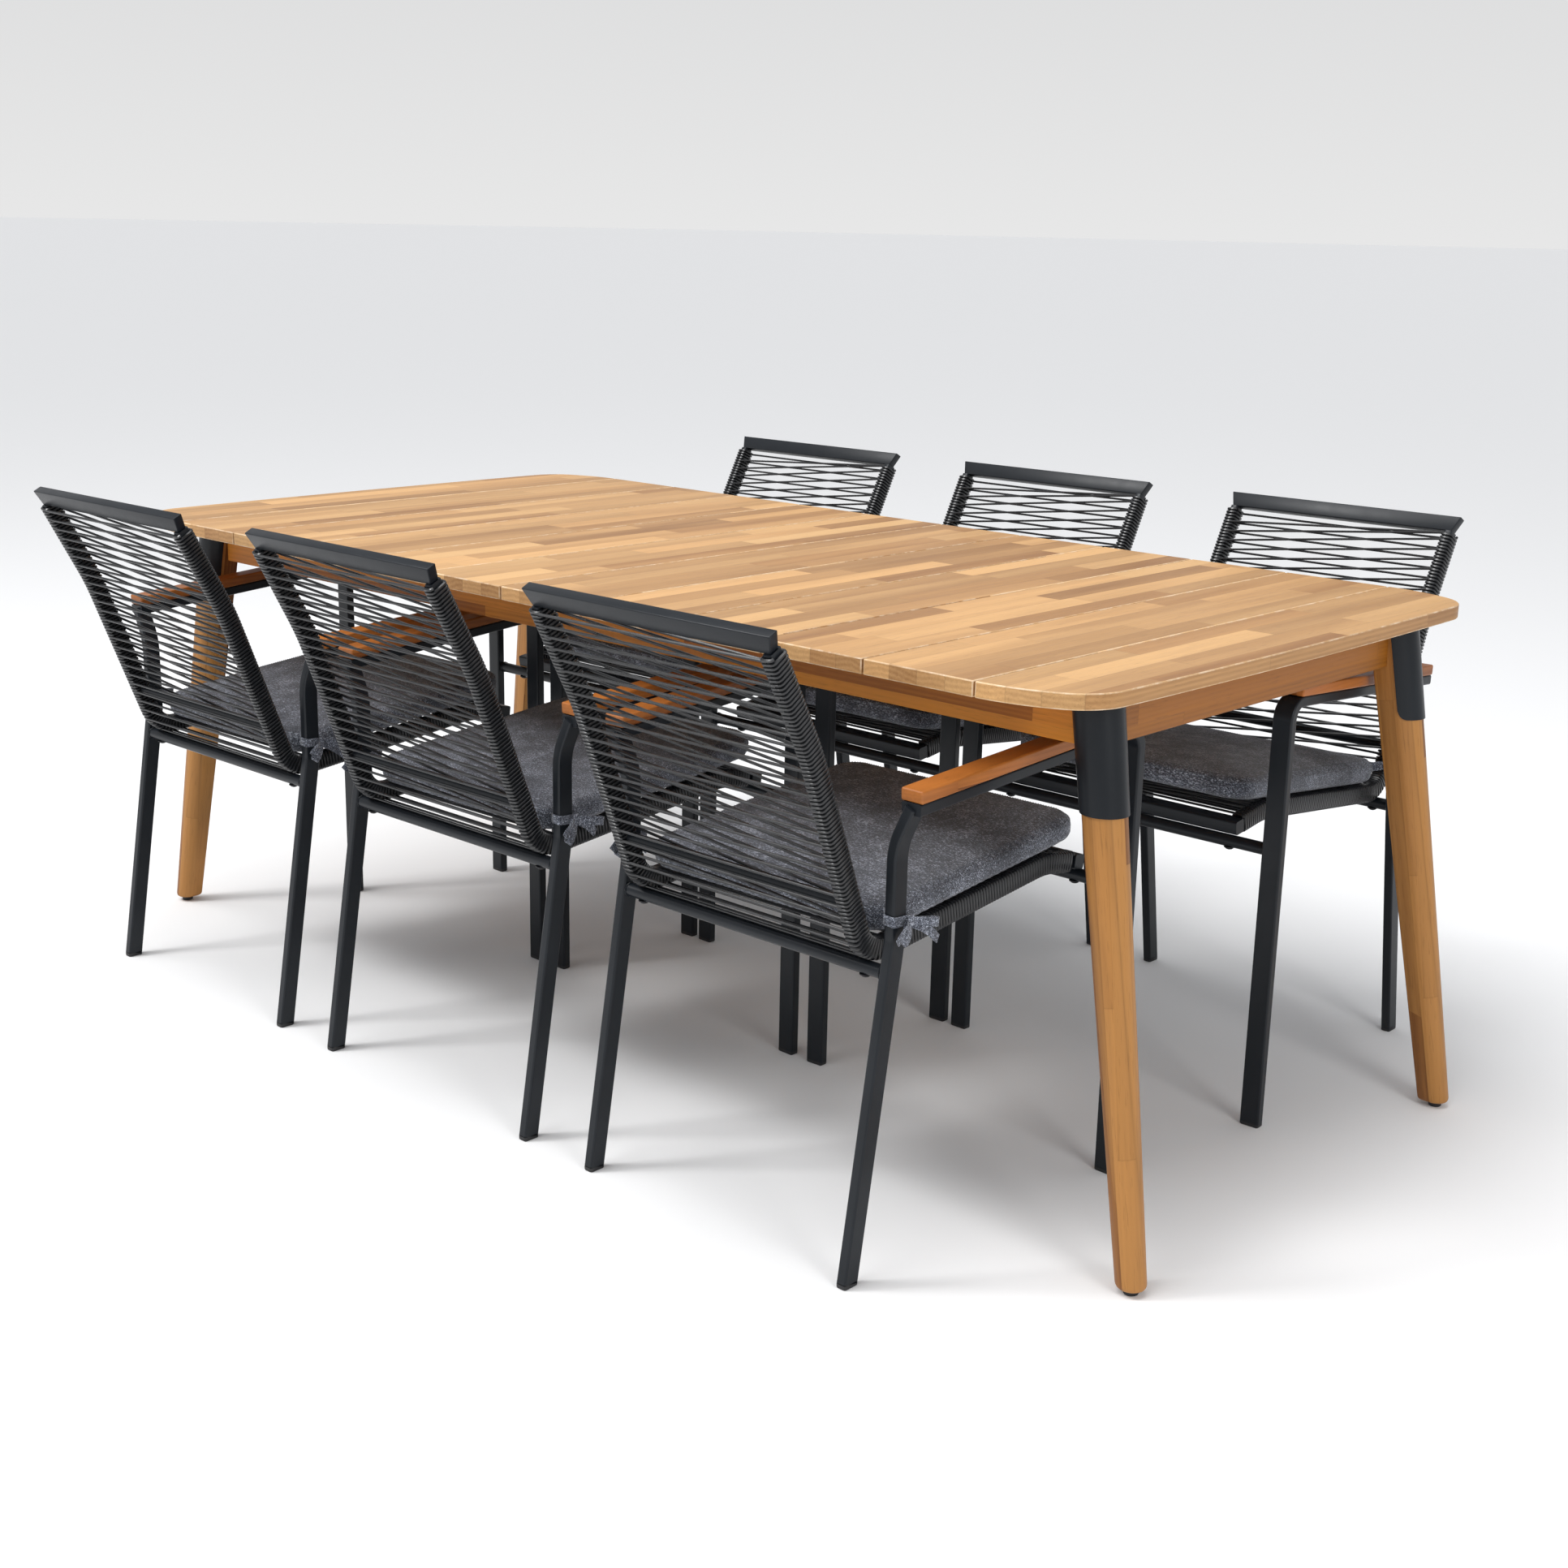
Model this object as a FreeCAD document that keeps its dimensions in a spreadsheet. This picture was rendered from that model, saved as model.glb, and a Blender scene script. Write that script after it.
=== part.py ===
import FreeCAD, Part
import math
import os

# Patio dining set: a slatted wooden table on four splayed legs and six corded armchairs.
# Frame: +Z up, floor at z = 0, origin on the floor under the middle of the table.
# The table's length runs along X. Near chairs stand on the -Y side and face +Y.
# A chair's own frame: x = 0 on its middle line, y = 0 at the rear edge of its rear feet,
# +y towards the table.

doc = FreeCAD.newDocument("PatioDiningSet")
sheet = doc.addObject("Spreadsheet::Sheet", "Sizes")
Vector = FreeCAD.Vector

# ---------------------------------------------------------------- driving dimensions

DIMENSIONS = [
    # table top
    ("top_length", 2010.0), ("top_width", 1000.0), ("top_height", 740.0),
    ("board_thick", 20.0), ("board_pitch", 170.0), ("board_gap", 3.0),
    ("side_straight", 850.0), ("side_curve_run", 105.0), ("side_curve_inset", 24.0),
    ("end_bulge", 7.0), ("corner_run", 66.0),
    ("batten_wide", 60.0), ("batten_thick", 18.0), ("batten_spacing", 200.0),
    # table underframe
    ("apron_tall", 67.0), ("apron_thick", 22.0), ("apron_side", 347.0), ("apron_end", 916.0),
    ("leg_top_x", 932.0), ("leg_top_y", 368.0), ("leg_foot_x", 1053.0), ("leg_foot_y", 400.0),
    ("leg_top_radius", 29.5), ("leg_foot_radius", 19.5),
    ("glide_tall", 8.0), ("glide_radius", 11.0),
    ("sleeve_long", 140.0), ("sleeve_thick", 2.5),
    # chair side frames
    ("bar_wide", 30.0), ("bar_thick", 15.0), ("bar_bend", 25.0),
    ("front_leg_y", 510.5), ("front_leg_x", 267.0),
    ("arm_rear_y", 78.0), ("arm_rear_x", 253.0), ("arm_rear_height", 595.0),
    ("arm_front_height", 626.5),
    ("upright_wide", 25.0), ("upright_x", 228.5), ("upright_y", 86.0),
    ("rear_foot_y", 18.5), ("knee_height", 428.0), ("knee_bend", 30.0),
    ("hook_low", 500.0), ("hook_turn", 558.0), ("hook_high", 594.0), ("hook_bend", 60.0),
    ("plug_tall", 5.0),
    # chair cross rails and bolts
    ("cross_radius", 9.0), ("rear_cross_y", 77.0), ("rear_cross_height", 387.0),
    ("front_cross_y", 504.0), ("front_cross_height", 411.0),
    ("bolt_x", 193.0), ("bolt_radius", 3.0), ("bolt_head_radius", 7.0), ("bolt_head_tall", 4.5),
    # seat and back unit
    ("rail_x", 193.0), ("rail_wide", 12.0), ("rail_deep", 20.0),
    ("seat_corner_y", 70.0), ("seat_corner_height", 403.0), ("seat_corner_bend", 45.0),
    ("seat_rise_y", 425.0), ("seat_rise_height", 442.0), ("seat_front_y", 487.0),
    ("seat_front_height", 433.0), ("seat_front_bend", 150.0),
    ("back_turn_y", -30.0), ("back_turn_height", 666.0), ("back_top_y", -98.0),
    ("back_top_height", 795.0), ("back_bend", 400.0),
    ("top_rail_half", 206.0), ("top_rail_tall", 25.0), ("top_rail_thick", 15.0),
    ("top_rail_taper", 9.0),
    ("front_rail_side", 20.0), ("lumbar_radius", 8.0), ("lumbar_along", 75.0),
    # cord weave
    ("cord_thick", 4.0), ("strand_pitch", 15.5), ("strand_sink", 0.6),
    # armrests and cushion
    ("armrest_wide", 34.0), ("armrest_thick", 16.0), ("armrest_long", 418.0),
    ("armrest_round", 4.0),
    ("cushion_wide", 416.0), ("cushion_deep", 424.0), ("cushion_thick", 42.0),
    ("cushion_rear_y", 84.0), ("cushion_corner", 38.0), ("cushion_round", 14.0),
    ("cushion_gap", 0.6),
    # where the chairs stand
    ("near_pitch", 594.0), ("near_shift", -24.0), ("far_pitch", 579.0), ("far_shift", 51.0),
    ("row_distance", 650.0),
]

for row, (alias, value) in enumerate(DIMENSIONS, start=1):
    sheet.set("A%d" % row, alias)
    sheet.set("B%d" % row, str(value))
    sheet.setAlias("B%d" % row, alias)
doc.recompute()


def size(alias):
    return float(getattr(sheet, alias))


def bind(thing, **links):
    """Ties properties of an object to spreadsheet formulas; a name's __ stands for a dot."""
    for name, formula in links.items():
        words = []
        for word in formula.replace("(", "( ").replace(")", " )").split():
            words.append("Sizes." + word if word in ALIASES else word)
        thing.setExpression(name.replace("__", "."), " ".join(words))


ALIASES = set(alias for alias, value in DIMENSIONS)


# ---------------------------------------------------------------- outline helpers

def unit(a, b):
    long = math.hypot(b[0] - a[0], b[1] - a[1])
    return ((b[0] - a[0]) / long, (b[1] - a[1]) / long)


def shifted(point, along, distance):
    return (point[0] + along[0] * distance, point[1] + along[1] * distance)


def ribbon(path, bends, wide, flat_start=False):
    """Closed outline of a bar of one width whose middle line follows path.

    bends holds the middle line's radius at each inner point of the path. With flat_start the
    first end is cut level, along the first axis, instead of square to the bar.
    """
    steps = [unit(a, b) for a, b in zip(path, path[1:])]
    sides = []
    for side in (1.0, -1.0):
        half = side * wide / 2.0
        normals = [(-step[1], step[0]) for step in steps]
        start = shifted(path[0], normals[0], half)
        if flat_start:
            start = shifted(start, steps[0], (path[0][1] - start[1]) / steps[0][1])
        edges = []
        here = start
        for i, bend in enumerate(bends):
            before, after = steps[i], steps[i + 1]
            turn = math.atan2(before[0] * after[1] - before[1] * after[0],
                              before[0] * after[0] + before[1] * after[1])
            reach = bend * math.tan(abs(turn) / 2.0)
            into = shifted(shifted(path[i + 1], before, -reach), normals[i], half)
            out = shifted(shifted(path[i + 1], after, reach), normals[i + 1], half)
            hand = 1.0 if turn > 0 else -1.0
            centre = shifted(shifted(path[i + 1], before, -reach), normals[i], hand * bend)
            middle = (into[0] + out[0] - 2 * centre[0], into[1] + out[1] - 2 * centre[1])
            radius = math.hypot(into[0] - centre[0], into[1] - centre[1])
            scale = radius / math.hypot(middle[0], middle[1])
            crown = (centre[0] + middle[0] * scale, centre[1] + middle[1] * scale)
            edges.append(("line", here, into))
            edges.append(("arc", into, crown, out))
            here = out
        edges.append(("line", here, shifted(path[-1], normals[-1], half)))
        sides.append(edges)
    first, second = sides
    closing = ("line", first[-1][-1], second[-1][-1])
    back = [edge[:1] + edge[:0:-1] for edge in reversed(second)]
    return first + [closing] + back + [("line", second[0][1], first[0][1])]


def polygon(points):
    return [("line", a, b) for a, b in zip(points, points[1:] + points[:1])]


def sketch(name, edges, placement):
    """A free sketch that holds the outline, laid in its plane by placement."""
    outline = doc.addObject("Sketcher::SketchObject", name)
    outline.Placement = placement
    for edge in edges:
        points = [Vector(p[0], p[1], 0) for p in edge[1:]]
        if edge[0] == "line":
            outline.addGeometry(Part.LineSegment(points[0], points[1]), False)
        else:
            outline.addGeometry(Part.Arc(points[0], points[1], points[2]), False)
    return outline


def turned(x, y, z, angle):
    return FreeCAD.Rotation(Vector(x, y, z), angle)


SIDE_VIEW = FreeCAD.Rotation(Vector(0, 1, 0), Vector(0, 0, 1), Vector(1, 0, 0))
FRONT_VIEW = FreeCAD.Rotation(Vector(-1, 0, 0), Vector(0, 0, 1), Vector(0, 1, 0))


def extruded(name, edges, placement, length, centred=True):
    """Solid of an outline pushed out square to its plane by a spreadsheet length."""
    outline = sketch(name + "_outline", edges, placement)
    solid = doc.addObject("Part::Extrusion", name)
    solid.Base = outline
    solid.DirMode = "Normal"
    solid.Solid = True
    solid.Symmetric = centred
    bind(solid, LengthFwd=length)
    return solid


def side_plate(name, edges, length, x):
    """Extrusion along X, centred on x, of an outline in the Y-Z plane."""
    return extruded(name, edges, FreeCAD.Placement(Vector(x, 0, 0), SIDE_VIEW), length)


def fused(name, pieces):
    whole = doc.addObject("Part::MultiFuse", name)
    whole.Shapes = pieces
    return whole


def cut(name, base, tool):
    rest = doc.addObject("Part::Cut", name)
    rest.Base = base
    rest.Tool = tool
    return rest


def grouped(name, pieces):
    group = doc.addObject("Part::Compound", name)
    group.Links = pieces
    return group


def mirrored(name, source, normal):
    """The source's twin on the other side of a plane through the origin."""
    twin = doc.addObject("Part::Mirroring", name)
    twin.Source = source
    twin.Normal = normal
    twin.Base = Vector(0, 0, 0)
    return twin


def cylinder(name, radius, height, base, rotation=FreeCAD.Rotation()):
    rod = doc.addObject("Part::Cylinder", name)
    bind(rod, Radius=radius, Height=height)
    rod.Placement = FreeCAD.Placement(base, rotation)
    return rod


ALONG_X = turned(0, 1, 0, 90)


def box(name, long, wide, tall, x, y, z):
    """A box whose sizes and near corner are spreadsheet formulas."""
    block = doc.addObject("Part::Box", name)
    bind(block, Length=long, Width=wide, Height=tall,
         Placement__Base__x=x, Placement__Base__y=y, Placement__Base__z=z)
    return block


def origin_plane(body, role):
    return next(item for item in body.Origin.OriginFeatures if item.Role == role)


def body_sketch(body, name, role, edges):
    """A sketch of the outline on one of the body's own origin planes."""
    outline = body.newObject("Sketcher::SketchObject", name)
    outline.AttachmentSupport = (origin_plane(body, role), "")
    outline.MapMode = "FlatFace"
    for edge in edges:
        points = [Vector(p[0], p[1], 0) for p in edge[1:]]
        if edge[0] == "line":
            outline.addGeometry(Part.LineSegment(points[0], points[1]), False)
        else:
            outline.addGeometry(Part.Arc(points[0], points[1], points[2]), False)
    return outline


def rounded_block(name, wide, deep, tall, corner, softness):
    """A padded block: plan with rounded corners, all rims eased. Origin at its rear middle."""
    body = doc.addObject("PartDesign::Body", name)
    half, round_corner = size(wide) / 2.0, size(corner)
    slant = round_corner * (1 - math.sqrt(0.5))
    depth = size(deep)
    edges = [
        ("line", (round_corner - half, 0), (half - round_corner, 0)),
        ("arc", (half - round_corner, 0), (half - slant, slant), (half, round_corner)),
        ("line", (half, round_corner), (half, depth - round_corner)),
        ("arc", (half, depth - round_corner), (half - slant, depth - slant),
         (half - round_corner, depth)),
        ("line", (half - round_corner, depth), (round_corner - half, depth)),
        ("arc", (round_corner - half, depth), (slant - half, depth - slant),
         (-half, depth - round_corner)),
        ("line", (-half, depth - round_corner), (-half, round_corner)),
        ("arc", (-half, round_corner), (slant - half, slant), (round_corner - half, 0)),
    ]
    outline = body_sketch(body, name + "_outline", "XY_Plane", edges)
    pad = body.newObject("PartDesign::Pad", name + "_pad")
    pad.Profile = outline
    bind(pad, Length=tall)
    doc.recompute()
    rims = []
    for number, edge in enumerate(pad.Shape.Edges, start=1):
        if edge.BoundBox.ZLength < 0.01:
            rims.append("Edge%d" % number)
    easing = body.newObject("PartDesign::Fillet", name + "_easing")
    easing.Base = (pad, rims)
    bind(easing, Radius=softness)
    body.Tip = easing
    doc.recompute()
    return body


# ---------------------------------------------------------------- table

def top_outline():
    """Long sides run straight, draw in over the last board and turn the corner to a bowed end."""
    side = size("top_width") / 2.0
    run, inset = size("side_curve_run"), size("side_curve_inset")
    start_x = size("side_straight")
    radius = (run * run + inset * inset) / (2.0 * inset)
    half_turn = math.asin(run / radius) / 2.0
    middle_x = start_x + radius * math.sin(half_turn)
    middle_y = side - radius * (1 - math.cos(half_turn))
    curve_x, curve_y = start_x + run, side - inset
    end_x = size("top_length") / 2.0
    corner_x = end_x - size("end_bulge")
    corner_y = curve_y - size("corner_run")
    # the corner arc leaves at the side curve's slope and meets the end nearly square
    chord_x, chord_y = corner_x - curve_x, curve_y - corner_y
    slope = 2.0 * half_turn
    sagitta = math.hypot(chord_x, chord_y) / 2.0 * math.tan((math.pi / 2 - slope) / 4.0)
    chord = unit((curve_x, curve_y), (corner_x, corner_y))
    crown_x = (curve_x + corner_x) / 2.0 - chord[1] * sagitta
    crown_y = (curve_y + corner_y) / 2.0 + chord[0] * sagitta
    quarter = [
        ("line", (0, side), (start_x, side)),
        ("arc", (start_x, side), (middle_x, middle_y), (curve_x, curve_y)),
        ("arc", (curve_x, curve_y), (crown_x, crown_y), (corner_x, corner_y)),
    ]
    right = quarter + [("arc", (corner_x, corner_y), (end_x, 0), (corner_x, -corner_y))]
    for edge in reversed(quarter):
        right.append(edge[:1] + tuple((p[0], -p[1]) for p in edge[:0:-1]))
    left = []
    for edge in reversed(right):
        left.append(edge[:1] + tuple((-p[0], p[1]) for p in edge[:0:-1]))
    return right + left


def table_boards():
    """Boards laid across the table with narrow gaps between them."""
    base = FreeCAD.Placement(Vector(0, 0, size("top_height") - size("board_thick")),
                             FreeCAD.Rotation())
    slab = extruded("board_slab", top_outline(), base, "board_thick", centred=False)
    slots = []
    reach = int(size("side_straight") / size("board_pitch"))
    for i in range(-reach, reach + 1):
        slots.append(box("board_slot_%d" % (i + reach), "board_gap", "top_width + 20",
                         "board_thick + 20", "%d * board_pitch - board_gap / 2" % i,
                         "( top_width + 20 ) / -2", "top_height - board_thick - 10"))
    return cut("table_boards", slab, fused("board_slots", slots))


def table_battens():
    """Three battens under the boards, between the end aprons."""
    battens = []
    for i in (-1, 0, 1):
        battens.append(box("batten_%d" % (i + 1), "2 * apron_end", "batten_wide",
                           "batten_thick", "-1 * apron_end",
                           "%d * batten_spacing - batten_wide / 2" % i,
                           "top_height - board_thick - batten_thick"))
    return grouped("table_battens", battens)


def leg_middle(height):
    """Leg's middle line at a height, for the leg at +X +Y, and its radius there."""
    top = size("top_height") - size("board_thick")
    low = size("glide_tall")
    share = (top - height) / (top - low)
    x = size("leg_top_x") + share * (size("leg_foot_x") - size("leg_top_x"))
    y = size("leg_top_y") + share * (size("leg_foot_y") - size("leg_top_y"))
    radius = size("leg_top_radius")
    radius += share * (size("leg_foot_radius") - size("leg_top_radius"))
    return x, y, radius


SECTION_START = math.radians(-80.0)
SECTION_END = math.radians(170.0)


def leg_section(height):
    """Round on the outside, with a square inner corner that the two aprons meet."""
    x, y, radius = leg_middle(height)

    def rim(angle):
        return (x + radius * math.cos(angle), y + radius * math.sin(angle))

    start, end = rim(SECTION_START), rim(SECTION_END)
    inner = (end[0], start[1])
    middle = rim((SECTION_START + SECTION_END) / 2.0)
    edges = [("line", inner, start), ("arc", start, middle, end), ("line", end, inner)]
    return sketch("leg_section_%d" % round(height), edges,
                  FreeCAD.Placement(Vector(0, 0, height), FreeCAD.Rotation()))


def sleeve_section(height):
    """Crescent that hugs the leg's round side."""
    x, y, radius = leg_middle(height)
    outer = radius + size("sleeve_thick")
    start = SECTION_START + math.radians(2)
    end = SECTION_END - math.radians(2)
    middle = (start + end) / 2.0

    def rim(distance, angle):
        return (x + distance * math.cos(angle), y + distance * math.sin(angle))

    edges = [
        ("arc", rim(outer, start), rim(outer, middle), rim(outer, end)),
        ("line", rim(outer, end), rim(radius, end)),
        ("arc", rim(radius, end), rim(radius, middle), rim(radius, start)),
        ("line", rim(radius, start), rim(outer, start)),
    ]
    return sketch("sleeve_section_%d" % round(height), edges,
                  FreeCAD.Placement(Vector(0, 0, height), FreeCAD.Rotation()))


def loft(name, sections):
    solid = doc.addObject("Part::Loft", name)
    solid.Sections = sections
    solid.Solid = True
    solid.Ruled = True
    return solid


def four_corners(name, piece):
    """The piece and its mirror twins at the table's other three corners."""
    left = mirrored(name + "_left", piece, Vector(1, 0, 0))
    right_near = mirrored(name + "_right_near", piece, Vector(0, 1, 0))
    left_near = mirrored(name + "_left_near", left, Vector(0, 1, 0))
    return grouped(name, [piece, left, right_near, left_near])


def table_legs_and_sleeves():
    top = size("top_height") - size("board_thick")
    leg = loft("leg", [leg_section(top), leg_section(size("glide_tall"))])
    sleeve = loft("sleeve", [sleeve_section(top), sleeve_section(top - size("sleeve_long"))])
    return leg, four_corners("table_legs", leg), four_corners("leg_sleeves", sleeve)


def table_aprons(leg):
    """Two side aprons and two end aprons whose ends follow the splayed legs."""
    bottom = "top_height - board_thick - apron_tall"
    side = box("side_apron_board", "2 * leg_top_x", "apron_thick", "apron_tall",
               "-1 * leg_top_x", "apron_side", bottom)
    end = box("end_apron_board", "apron_thick", "2 * leg_top_y", "apron_tall",
              "apron_end", "-1 * leg_top_y", bottom)
    pieces = []
    for name, board, twin_normal in (("side_apron", side, Vector(0, 1, 0)),
                                     ("end_apron", end, Vector(1, 0, 0))):
        other = Vector(1, 0, 0) if name == "side_apron" else Vector(0, 1, 0)
        posts = fused(name + "_posts", [leg, mirrored(name + "_post_twin", leg, other)])
        apron = cut(name, board, posts)
        pieces.append(apron)
        pieces.append(mirrored(name + "_twin", apron, twin_normal))
    return grouped("table_aprons", pieces)


def table_glides():
    x, y, radius = leg_middle(size("glide_tall"))
    glide = doc.addObject("Part::Cone", "glide")
    bind(glide, Radius1="glide_radius - 1", Radius2="glide_radius", Height="glide_tall")
    glide.Placement = FreeCAD.Placement(Vector(x, y, 0), FreeCAD.Rotation())
    return four_corners("table_glides", glide)


# ---------------------------------------------------------------- chair, in its own frame

def arm_turn():
    """The arm spreads outwards to the front by this angle, in degrees."""
    return math.degrees(math.atan2(size("front_leg_x") - size("arm_rear_x"),
                                   size("front_leg_y") - size("arm_rear_y")))


def arm_slope():
    return math.degrees(math.atan2(size("arm_front_height") - size("arm_rear_height"),
                                   size("front_leg_y") - size("arm_rear_y")))


def right_side():
    """Front leg and arm bar bent from one flat tube, and the rear upright that hooks under it."""
    reach = size("front_leg_y") - size("arm_rear_y")
    path = [(reach, size("plug_tall")), (reach, size("arm_front_height")),
            (0.0, size("arm_rear_height"))]
    spread = turned(0, 0, 1, -arm_turn()).multiply(SIDE_VIEW)
    place = FreeCAD.Placement(Vector(size("arm_rear_x"), size("arm_rear_y"), 0), spread)
    front = extruded("front_leg_and_arm", ribbon(path, [size("bar_bend")], size("bar_thick")),
                     place, "bar_wide")
    path = [(size("rear_foot_y"), size("plug_tall")), (size("upright_y"), size("knee_height")),
            (size("upright_y"), size("hook_low"))]
    rear = side_plate("rear_leg", ribbon(path, [size("knee_bend")], size("upright_wide"), True),
                      "bar_thick", size("upright_x"))
    path = [(-size("upright_x"), size("hook_low")), (-size("upright_x"), size("hook_turn")),
            (-size("arm_rear_x"), size("hook_high"))]
    hook = extruded("upright_hook", ribbon(path, [size("hook_bend")], size("bar_thick")),
                    FreeCAD.Placement(Vector(0, size("upright_y"), 0), FRONT_VIEW),
                    "upright_wide")
    return fused("right_side", [front, rear, hook])


def cross_rails():
    """Two round rails that join the side frames under the seat, drilled for the seat bolts."""
    rails = []
    rear_half = "upright_x - bar_thick / 2"
    front_half = "front_leg_x - bar_wide / 2 - 0.4"
    for name, half, y, height in (
            ("rear_cross", rear_half, "rear_cross_y", "rear_cross_height"),
            ("front_cross", front_half, "front_cross_y", "front_cross_height")):
        rod = cylinder(name + "_tube", "cross_radius", "2 * ( %s )" % half, Vector(), ALONG_X)
        bind(rod, Placement__Base__x="-1 * ( %s )" % half, Placement__Base__y=y,
             Placement__Base__z=height)
        holes = []
        for side in (-1, 1):
            hole = cylinder("%s_hole_%d" % (name, side + 1), "bolt_radius + 0.2",
                            "3 * cross_radius", Vector())
            bind(hole, Placement__Base__x="%d * bolt_x" % side, Placement__Base__y=y,
                 Placement__Base__z="%s - 1.5 * cross_radius" % height)
            holes.append(hole)
        rails.append(cut(name, rod, fused(name + "_holes", holes)))
    return grouped("cross_rails", rails)


def seat_bolts():
    """Dome-headed bolts that come up through the cross rails."""
    bolts = []
    for row, y, height in (("rear", "rear_cross_y", "rear_cross_height"),
                           ("front", "front_cross_y", "front_cross_height")):
        for side in (-1, 1):
            name = "%s_bolt_%d" % (row, side + 1)
            shank = cylinder(name + "_shank", "bolt_radius", "2 * cross_radius + 0.5", Vector())
            bind(shank, Placement__Base__x="%d * bolt_x" % side, Placement__Base__y=y,
                 Placement__Base__z="%s - cross_radius - 0.5" % height)
            head = doc.addObject("Part::Cone", name + "_head")
            bind(head, Radius1="0.55 * bolt_head_radius", Radius2="bolt_head_radius",
                 Height="bolt_head_tall", Placement__Base__x="%d * bolt_x" % side,
                 Placement__Base__y=y,
                 Placement__Base__z="%s - cross_radius - bolt_head_tall" % height)
            bolts.append(fused(name, [shank, head]))
    return grouped("seat_bolts", bolts)


def foot_plugs():
    """Plastic plugs in the ends of the four legs."""
    angle = arm_turn()
    plugs = []
    for side in (-1, 1):
        rear = box("rear_plug_%d" % (side + 1), "bar_thick", "upright_wide", "plug_tall",
                   "%d * upright_x - bar_thick / 2" % side, "rear_foot_y - upright_wide / 2",
                   "0")
        front = box("front_plug_%d" % (side + 1), "bar_wide", "bar_thick", "plug_tall",
                    "0", "0", "0")
        half = turned(0, 0, 1, -side * angle)
        corner = half.multVec(Vector(-size("bar_wide") / 2, -size("bar_thick") / 2, 0))
        front.setExpression("Placement.Base.x", None)
        front.setExpression("Placement.Base.y", None)
        foot = Vector(side * size("front_leg_x"), size("front_leg_y"), 0)
        front.Placement = FreeCAD.Placement(foot.add(corner), half)
        plugs += [rear, front]
    return grouped("foot_plugs", plugs)


def seat_path():
    """Middle line of a side rail: front of the seat, round the corner, up the back."""
    path = [(size("seat_front_y"), size("seat_front_height")),
            (size("seat_rise_y"), size("seat_rise_height")),
            (size("seat_corner_y"), size("seat_corner_height")),
            (size("back_turn_y"), size("back_turn_height")),
            (size("back_top_y"), size("back_top_height"))]
    bends = [size("seat_front_bend"), size("seat_corner_bend"), size("back_bend")]
    return path, bends


def on_back(distance):
    """Point of the middle line at a distance up the back's straight run, and its direction."""
    path, bends = seat_path()
    up = unit(path[2], path[3])
    return shifted(path[2], up, distance), up


def seat_back_frame():
    """Two bent side rails with a tapered head rail, a front rail and a lumbar rail."""
    path, bends = seat_path()
    rails = []
    for side in (-1, 1):
        rails.append(side_plate("side_rail_%d" % (side + 1),
                                ribbon(path, bends, size("rail_deep")), "rail_wide",
                                side * size("rail_x")))
    up = unit(path[3], path[4])
    half, tall, taper = size("top_rail_half"), size("top_rail_tall"), size("top_rail_taper")
    head_edges = polygon([(-half, tall), (half, tall), (half - taper, 0), (taper - half, 0)])
    facing = FreeCAD.Rotation(Vector(1, 0, 0), Vector(0, up[0], up[1]), Vector(0, -up[1], up[0]))
    head = extruded("head_rail", head_edges,
                    FreeCAD.Placement(Vector(0, path[4][0], path[4][1]), facing),
                    "top_rail_thick")
    front_way = unit(path[1], path[0])
    side_length = size("front_rail_side")
    centre = shifted(path[0], front_way, side_length / 2.0)
    square = ribbon([shifted(centre, front_way, -side_length / 2.0),
                     shifted(centre, front_way, side_length / 2.0)], [], side_length)
    front = side_plate("front_rail", square, "2 * rail_x + rail_wide + 2 * cord_thick", 0)
    return fused("seat_back_frame", rails + [head, front, lumbar_rod("lumbar_rail", "rail_x")])


def lumbar_rod(name, half):
    middle, up = on_back(size("lumbar_along"))
    rod = cylinder(name, "lumbar_radius", "2 * %s" % half, Vector(0, middle[0], middle[1]),
                   ALONG_X)
    bind(rod, Placement__Base__x="-1 * %s" % half)
    return rod


def strand_places():
    """Where the cords cross between the rails, just under the wound cord's upper face."""
    path, bends = seat_path()
    pitch = size("strand_pitch")
    lift = size("rail_deep") / 2.0 + size("cord_thick") / 2.0 - size("strand_sink")
    places = []
    for a, b, skip_start, skip_end in ((path[1], path[2], 6.0, 40.0),
                                       (path[2], path[3], 40.0, 12.0),
                                       (path[3], path[4], 12.0, 8.0)):
        way = unit(a, b)
        long = math.hypot(b[0] - a[0], b[1] - a[1]) - skip_start - skip_end
        count = int(long / pitch)
        normal = (way[1], -way[0])
        for i in range(count + 1):
            spot = shifted(a, way, skip_start + long * i / count)
            places.append(shifted(spot, normal, lift))
    return places


def cord_weave():
    """Cord wound along both side rails, with strands drawn across between them."""
    path, bends = seat_path()
    sleeves = []
    for side in (-1, 1):
        x = side * size("rail_x")
        wound = side_plate("wound_cord_%d" % (side + 1),
                           ribbon(path, bends, size("rail_deep") + 2 * size("cord_thick")),
                           "rail_wide + 2 * cord_thick", x)
        core = side_plate("wound_core_%d" % (side + 1),
                          ribbon(path, bends, size("rail_deep")), "rail_wide", x)
        gap = lumbar_rod("lumbar_gap_%d" % (side + 1), "rail_x")
        sleeves.append(cut("cord_sleeve_%d" % (side + 1), wound,
                           fused("sleeve_core_%d" % (side + 1), [core, gap])))
    strands = []
    for number, (y, z) in enumerate(strand_places()):
        strand = cylinder("strand_%d" % number, "cord_thick / 2",
                          "2 * rail_x - rail_wide - cord_thick", Vector(0, y, z), ALONG_X)
        bind(strand, Placement__Base__x="( rail_wide + cord_thick ) / 2 - rail_x")
        strands.append(strand)
    return fused("cord_weave", sleeves + strands)


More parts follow.
